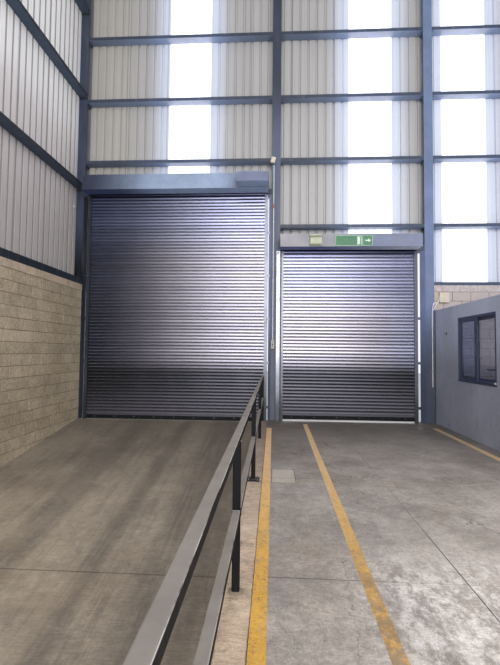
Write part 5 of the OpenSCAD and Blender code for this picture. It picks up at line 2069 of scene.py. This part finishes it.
@dataclass
class Fittings(Assembly):
    """Junction box, push-button box, conduits and the small fittings of the end wall."""

    conduit_r: float = 0.010
    thin_r: float = 0.008
    thin_in: float = 0.050
    gap: float = 0.0003
    conduit_foot: float = 1.820
    thin_top: float = 2.540
    tape: Pair = (6.397, 6.514)
    button_box: Point3 = (0.080, 0.070, 0.200)
    junction: Point3 = (0.204, 0.080, 0.225)
    junction_rise: float = 2.690
    lid_t: float = 0.018
    saddle_pitch: float = 0.70
    coupler_pitch: float = 1.35
    sensor_z: float = 7.519
    post_sensor_z: float = 5.336
    wall_sensors_z: Pair = (6.445, 7.005)

    def case(self, low: Point3, size: Point3) -> Shape:
        """Makes a box with a lid in front of a shadow gap.

        Args:
            low: Its lowest corner.
            size: Width, depth and height.

        Returns:
            The shape, with two cable glands below it.
        """
        (x, y, z), (wide, deep, high) = low, size
        lid = y + self.lid_t
        shape = Shape().box((x, lid, z), (x + wide, y + deep, z + high), 0.004)
        shape.box((x, y + 0.002, z), (x + wide, lid - 0.002, z + high), 0.005)
        shape.box((x + 0.004, lid - 0.004, z + 0.004), (x + wide - 0.004, lid + 0.002, z + high - 0.004))
        for share in (0.3, 0.7):
            at = (x + wide * share, y + deep * 0.6)
            shape.rod((*at, z), (*at, z - 0.010), 0.011, 12).rod((*at, z - 0.010), (*at, z - 0.020), 0.008, 6)
        return shape

    def pipe(self, shape: Shape, x: float, radius: float, foot: float, top: float) -> list[Spot]:
        """Runs a conduit up the column face with its couplers.

        Args:
            shape: The shape that it goes into.
            x: Place of its middle.
            radius: Its radius.
            foot: Its lower end.
            top: Its upper end.

        Returns:
            The places of its saddles.
        """
        y = self.hall.face_y - radius - self.gap
        shape.rod((x, y, foot), (x, y, top), radius, 20)
        for z in steps(foot + self.coupler_pitch, top - 0.1, self.coupler_pitch):
            shape.rod((x, y, z), (x, y, z + 0.045), radius + 0.0025, 20)
        return [Spot((x, y, foot + (k + 0.5) * self.saddle_pitch))
                for k in range(int((top - foot) / self.saddle_pitch))]

    def saddles(self, name: str, radius: float, spots: list[Spot]) -> None:
        """Straps a conduit to its column with saddles and their screws.

        Args:
            name: Name of the piece.
            radius: Radius of the conduit.
            spots: Where the saddles go.
        """
        half, over, flat = 0.008, radius + 0.0015, radius - 0.0015
        turns = (math.pi * k / 8 for k in range(9))
        arc = [(-over, radius), *((-over * math.cos(a), -over * math.sin(a)) for a in turns), (over, radius)]
        inner = [(a * radius / over, b * radius / over if b < 0 else b) for a, b in arc]
        shape = Shape().section(arc + inner[::-1], Z, -half, half)
        for side in (-1, 1):
            a, b = sorted((side * radius, side * (radius + 0.018)))
            x = side * (radius + 0.010)
            shape.box((a, flat, -half), (b, radius, half))
            shape.rod((x, flat, 0), (x, radius - 0.004, 0), 0.0035, 8)
        self.hall.setter.set(name, shape.object("saddle"), spots, ZINC)

    def boxes(self) -> None:
        """Builds both boxes, their screws and the push buttons."""
        low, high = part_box("wall_boxes")
        hall, (wide, deep, tall) = self.hall, self.button_box
        y, foot = hall.face_y - deep, hall.floor_z + self.conduit_foot - tall
        corner, x, ring = (low.x, y, foot), low.x + wide / 2, Shape()
        self.case(corner, self.button_box).piece("button_box", GREY_CASE, "wall_boxes")
        seat, rim, cap = y + 0.002, y - 0.004, y - 0.010
        for k, finish in enumerate((RED, BLACK, BUTTON_GREEN)):
            z = foot + tall * (k + 1) / 4
            ring.rod((x, seat, z), (x, rim, z), 0.017, 20, 0.015)
            button = Shape().rod((x, rim, z), (x, cap, z), 0.012, 20, 0.010)
            button.piece(f"push_button_{k + 1}", finish, smooth=40)
        ring.piece("button_rings", BLACK, smooth=40)
        other = (high.x - self.junction[0], hall.face_y - self.junction[1], hall.floor_z + self.junction_rise)
        self.case(other, self.junction).piece("junction_box", CREAM)
        self.fasten("case_screws", Head.CASE_SCREW, [
            Spot((x + a, y + 0.002, z + b))
            for (x, y, z), (w, _, h) in ((corner, self.button_box), (other, self.junction))
            for a in (0.011, w - 0.011) for b in (0.011, h - 0.011)])

    def sensor(self, x: float) -> None:
        """Hangs the tilted sensor box over the end of the long conduit.

        Args:
            x: Middle of the conduit.
        """
        (wide, deep, tall), face, z = (0.052, 0.030, 0.070), self.hall.face_y, self.sensor_z
        case = Shape().box((-wide, -deep, -tall), (wide, deep, tall), 0.008)
        case.box((-wide + 0.012, -deep - 0.004, -tall + 0.014), (wide - 0.012, -deep + 0.004, 0.030), 0.003)
        case.bm.transform(Matrix.Translation((x - 0.020, face - 0.045, z))
                          @ Matrix.Rotation(math.radians(12), 4, "Y"))
        case.plate(x - 0.040, x + 0.010, face - 0.018, face, z - 0.049, z + 0.051)
        case.piece("column_sensor", CREAM)

    def elbow(self, x: float) -> None:
        """Bends two flexible conduits from the thin one's top into the side of the junction box.

        Args:
            x: Middle of the thin conduit.
        """
        hall, radius = self.hall, self.thin_r
        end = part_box("wall_boxes")[1].x - self.junction[0]
        top, box = hall.floor_z + self.thin_top, hall.floor_z + self.junction_rise
        y, shape = hall.face_y - 0.030, Shape()
        for rise, sag, bore in ((0.155, 0.06, radius), (0.050, -0.03, radius * 0.75)):
            shape.tube([(x + (end - x) * u * u * (3 - 2 * u), y,
                         top - 0.02 + (box + rise - top + 0.02) * u + sag * math.sin(math.pi * u * 2))
                        for u in (k / 12 for k in range(13))], bore)
        shape.rod((x, y + 0.022, top - 0.03), (x, y, top - 0.03), radius * 1.3, 16)
        shape.piece("junction_conduit", PALE, smooth=50)

    def small(self) -> None:
        """Adds the white fittings on the guide post and beside the corner column."""
        shape, post, corner = Shape(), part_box("guide_post")[0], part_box("corner_column")[0]
        x, y, z = post.x + 0.030, post.y, self.post_sensor_z
        shape.plate(x - 0.020, x + 0.020, y - 0.004, y, z - 0.034, z + 0.034)
        shape.rod((x, y - 0.004, z), (x, y - 0.034, z), 0.018, 16, 0.013)
        x, y = corner.x + 0.010, corner.y - 0.11
        for z in self.wall_sensors_z:
            shape.box((corner.x, y - 0.03, z - 0.034), (x, y + 0.03, z + 0.034), 0.003)
            shape.rod((x, y, z), (x + 0.030, y, z), 0.016, 16, 0.011)
        shape.piece("wall_sensors", WHITE, smooth=50)

    def build(self) -> None:
        """Builds the boxes, the conduits and the small fittings."""
        self.boxes()
        (low, high), floor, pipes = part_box("wall_boxes"), self.hall.floor_z, Shape()
        x, thin_x = low.x + self.button_box[0] / 2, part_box("right_column")[1].x - self.thin_in
        one = self.pipe(pipes, x, self.conduit_r, floor + self.conduit_foot, high.z)
        two = self.pipe(pipes, thin_x, self.thin_r, low.z, floor + self.thin_top)
        pipes.piece("conduits", PALE, smooth=50)
        y = self.hall.face_y - self.conduit_r - self.gap
        tape = Shape().rod((x, y, self.tape[0]), (x, y, self.tape[1]), self.conduit_r + 0.0012, 20)
        tape.piece("conduit_tape", TAPE, smooth=50)
        self.sensor(x)
        self.elbow(thin_x)
        self.saddles("conduit_saddles", self.conduit_r, one)
        self.saddles("thin_saddles", self.thin_r, two)
        self.small()


def main() -> None:
    """Builds the bay in order."""
    logging.basicConfig(level=logging.INFO, format="%(message)s")
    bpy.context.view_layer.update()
    Studio().build()
    hall = Hall()
    for part in (Groundworks(hall), Blockwork(hall), SteelFrame(hall), Cladding(hall), Shutters(hall),
                 Hoods(hall), GuardRail(hall), OfficePartition(hall), Fittings(hall)):
        LOG.info("building %s", type(part).__name__)
        part.build()


if __name__ == "__main__":
    main()
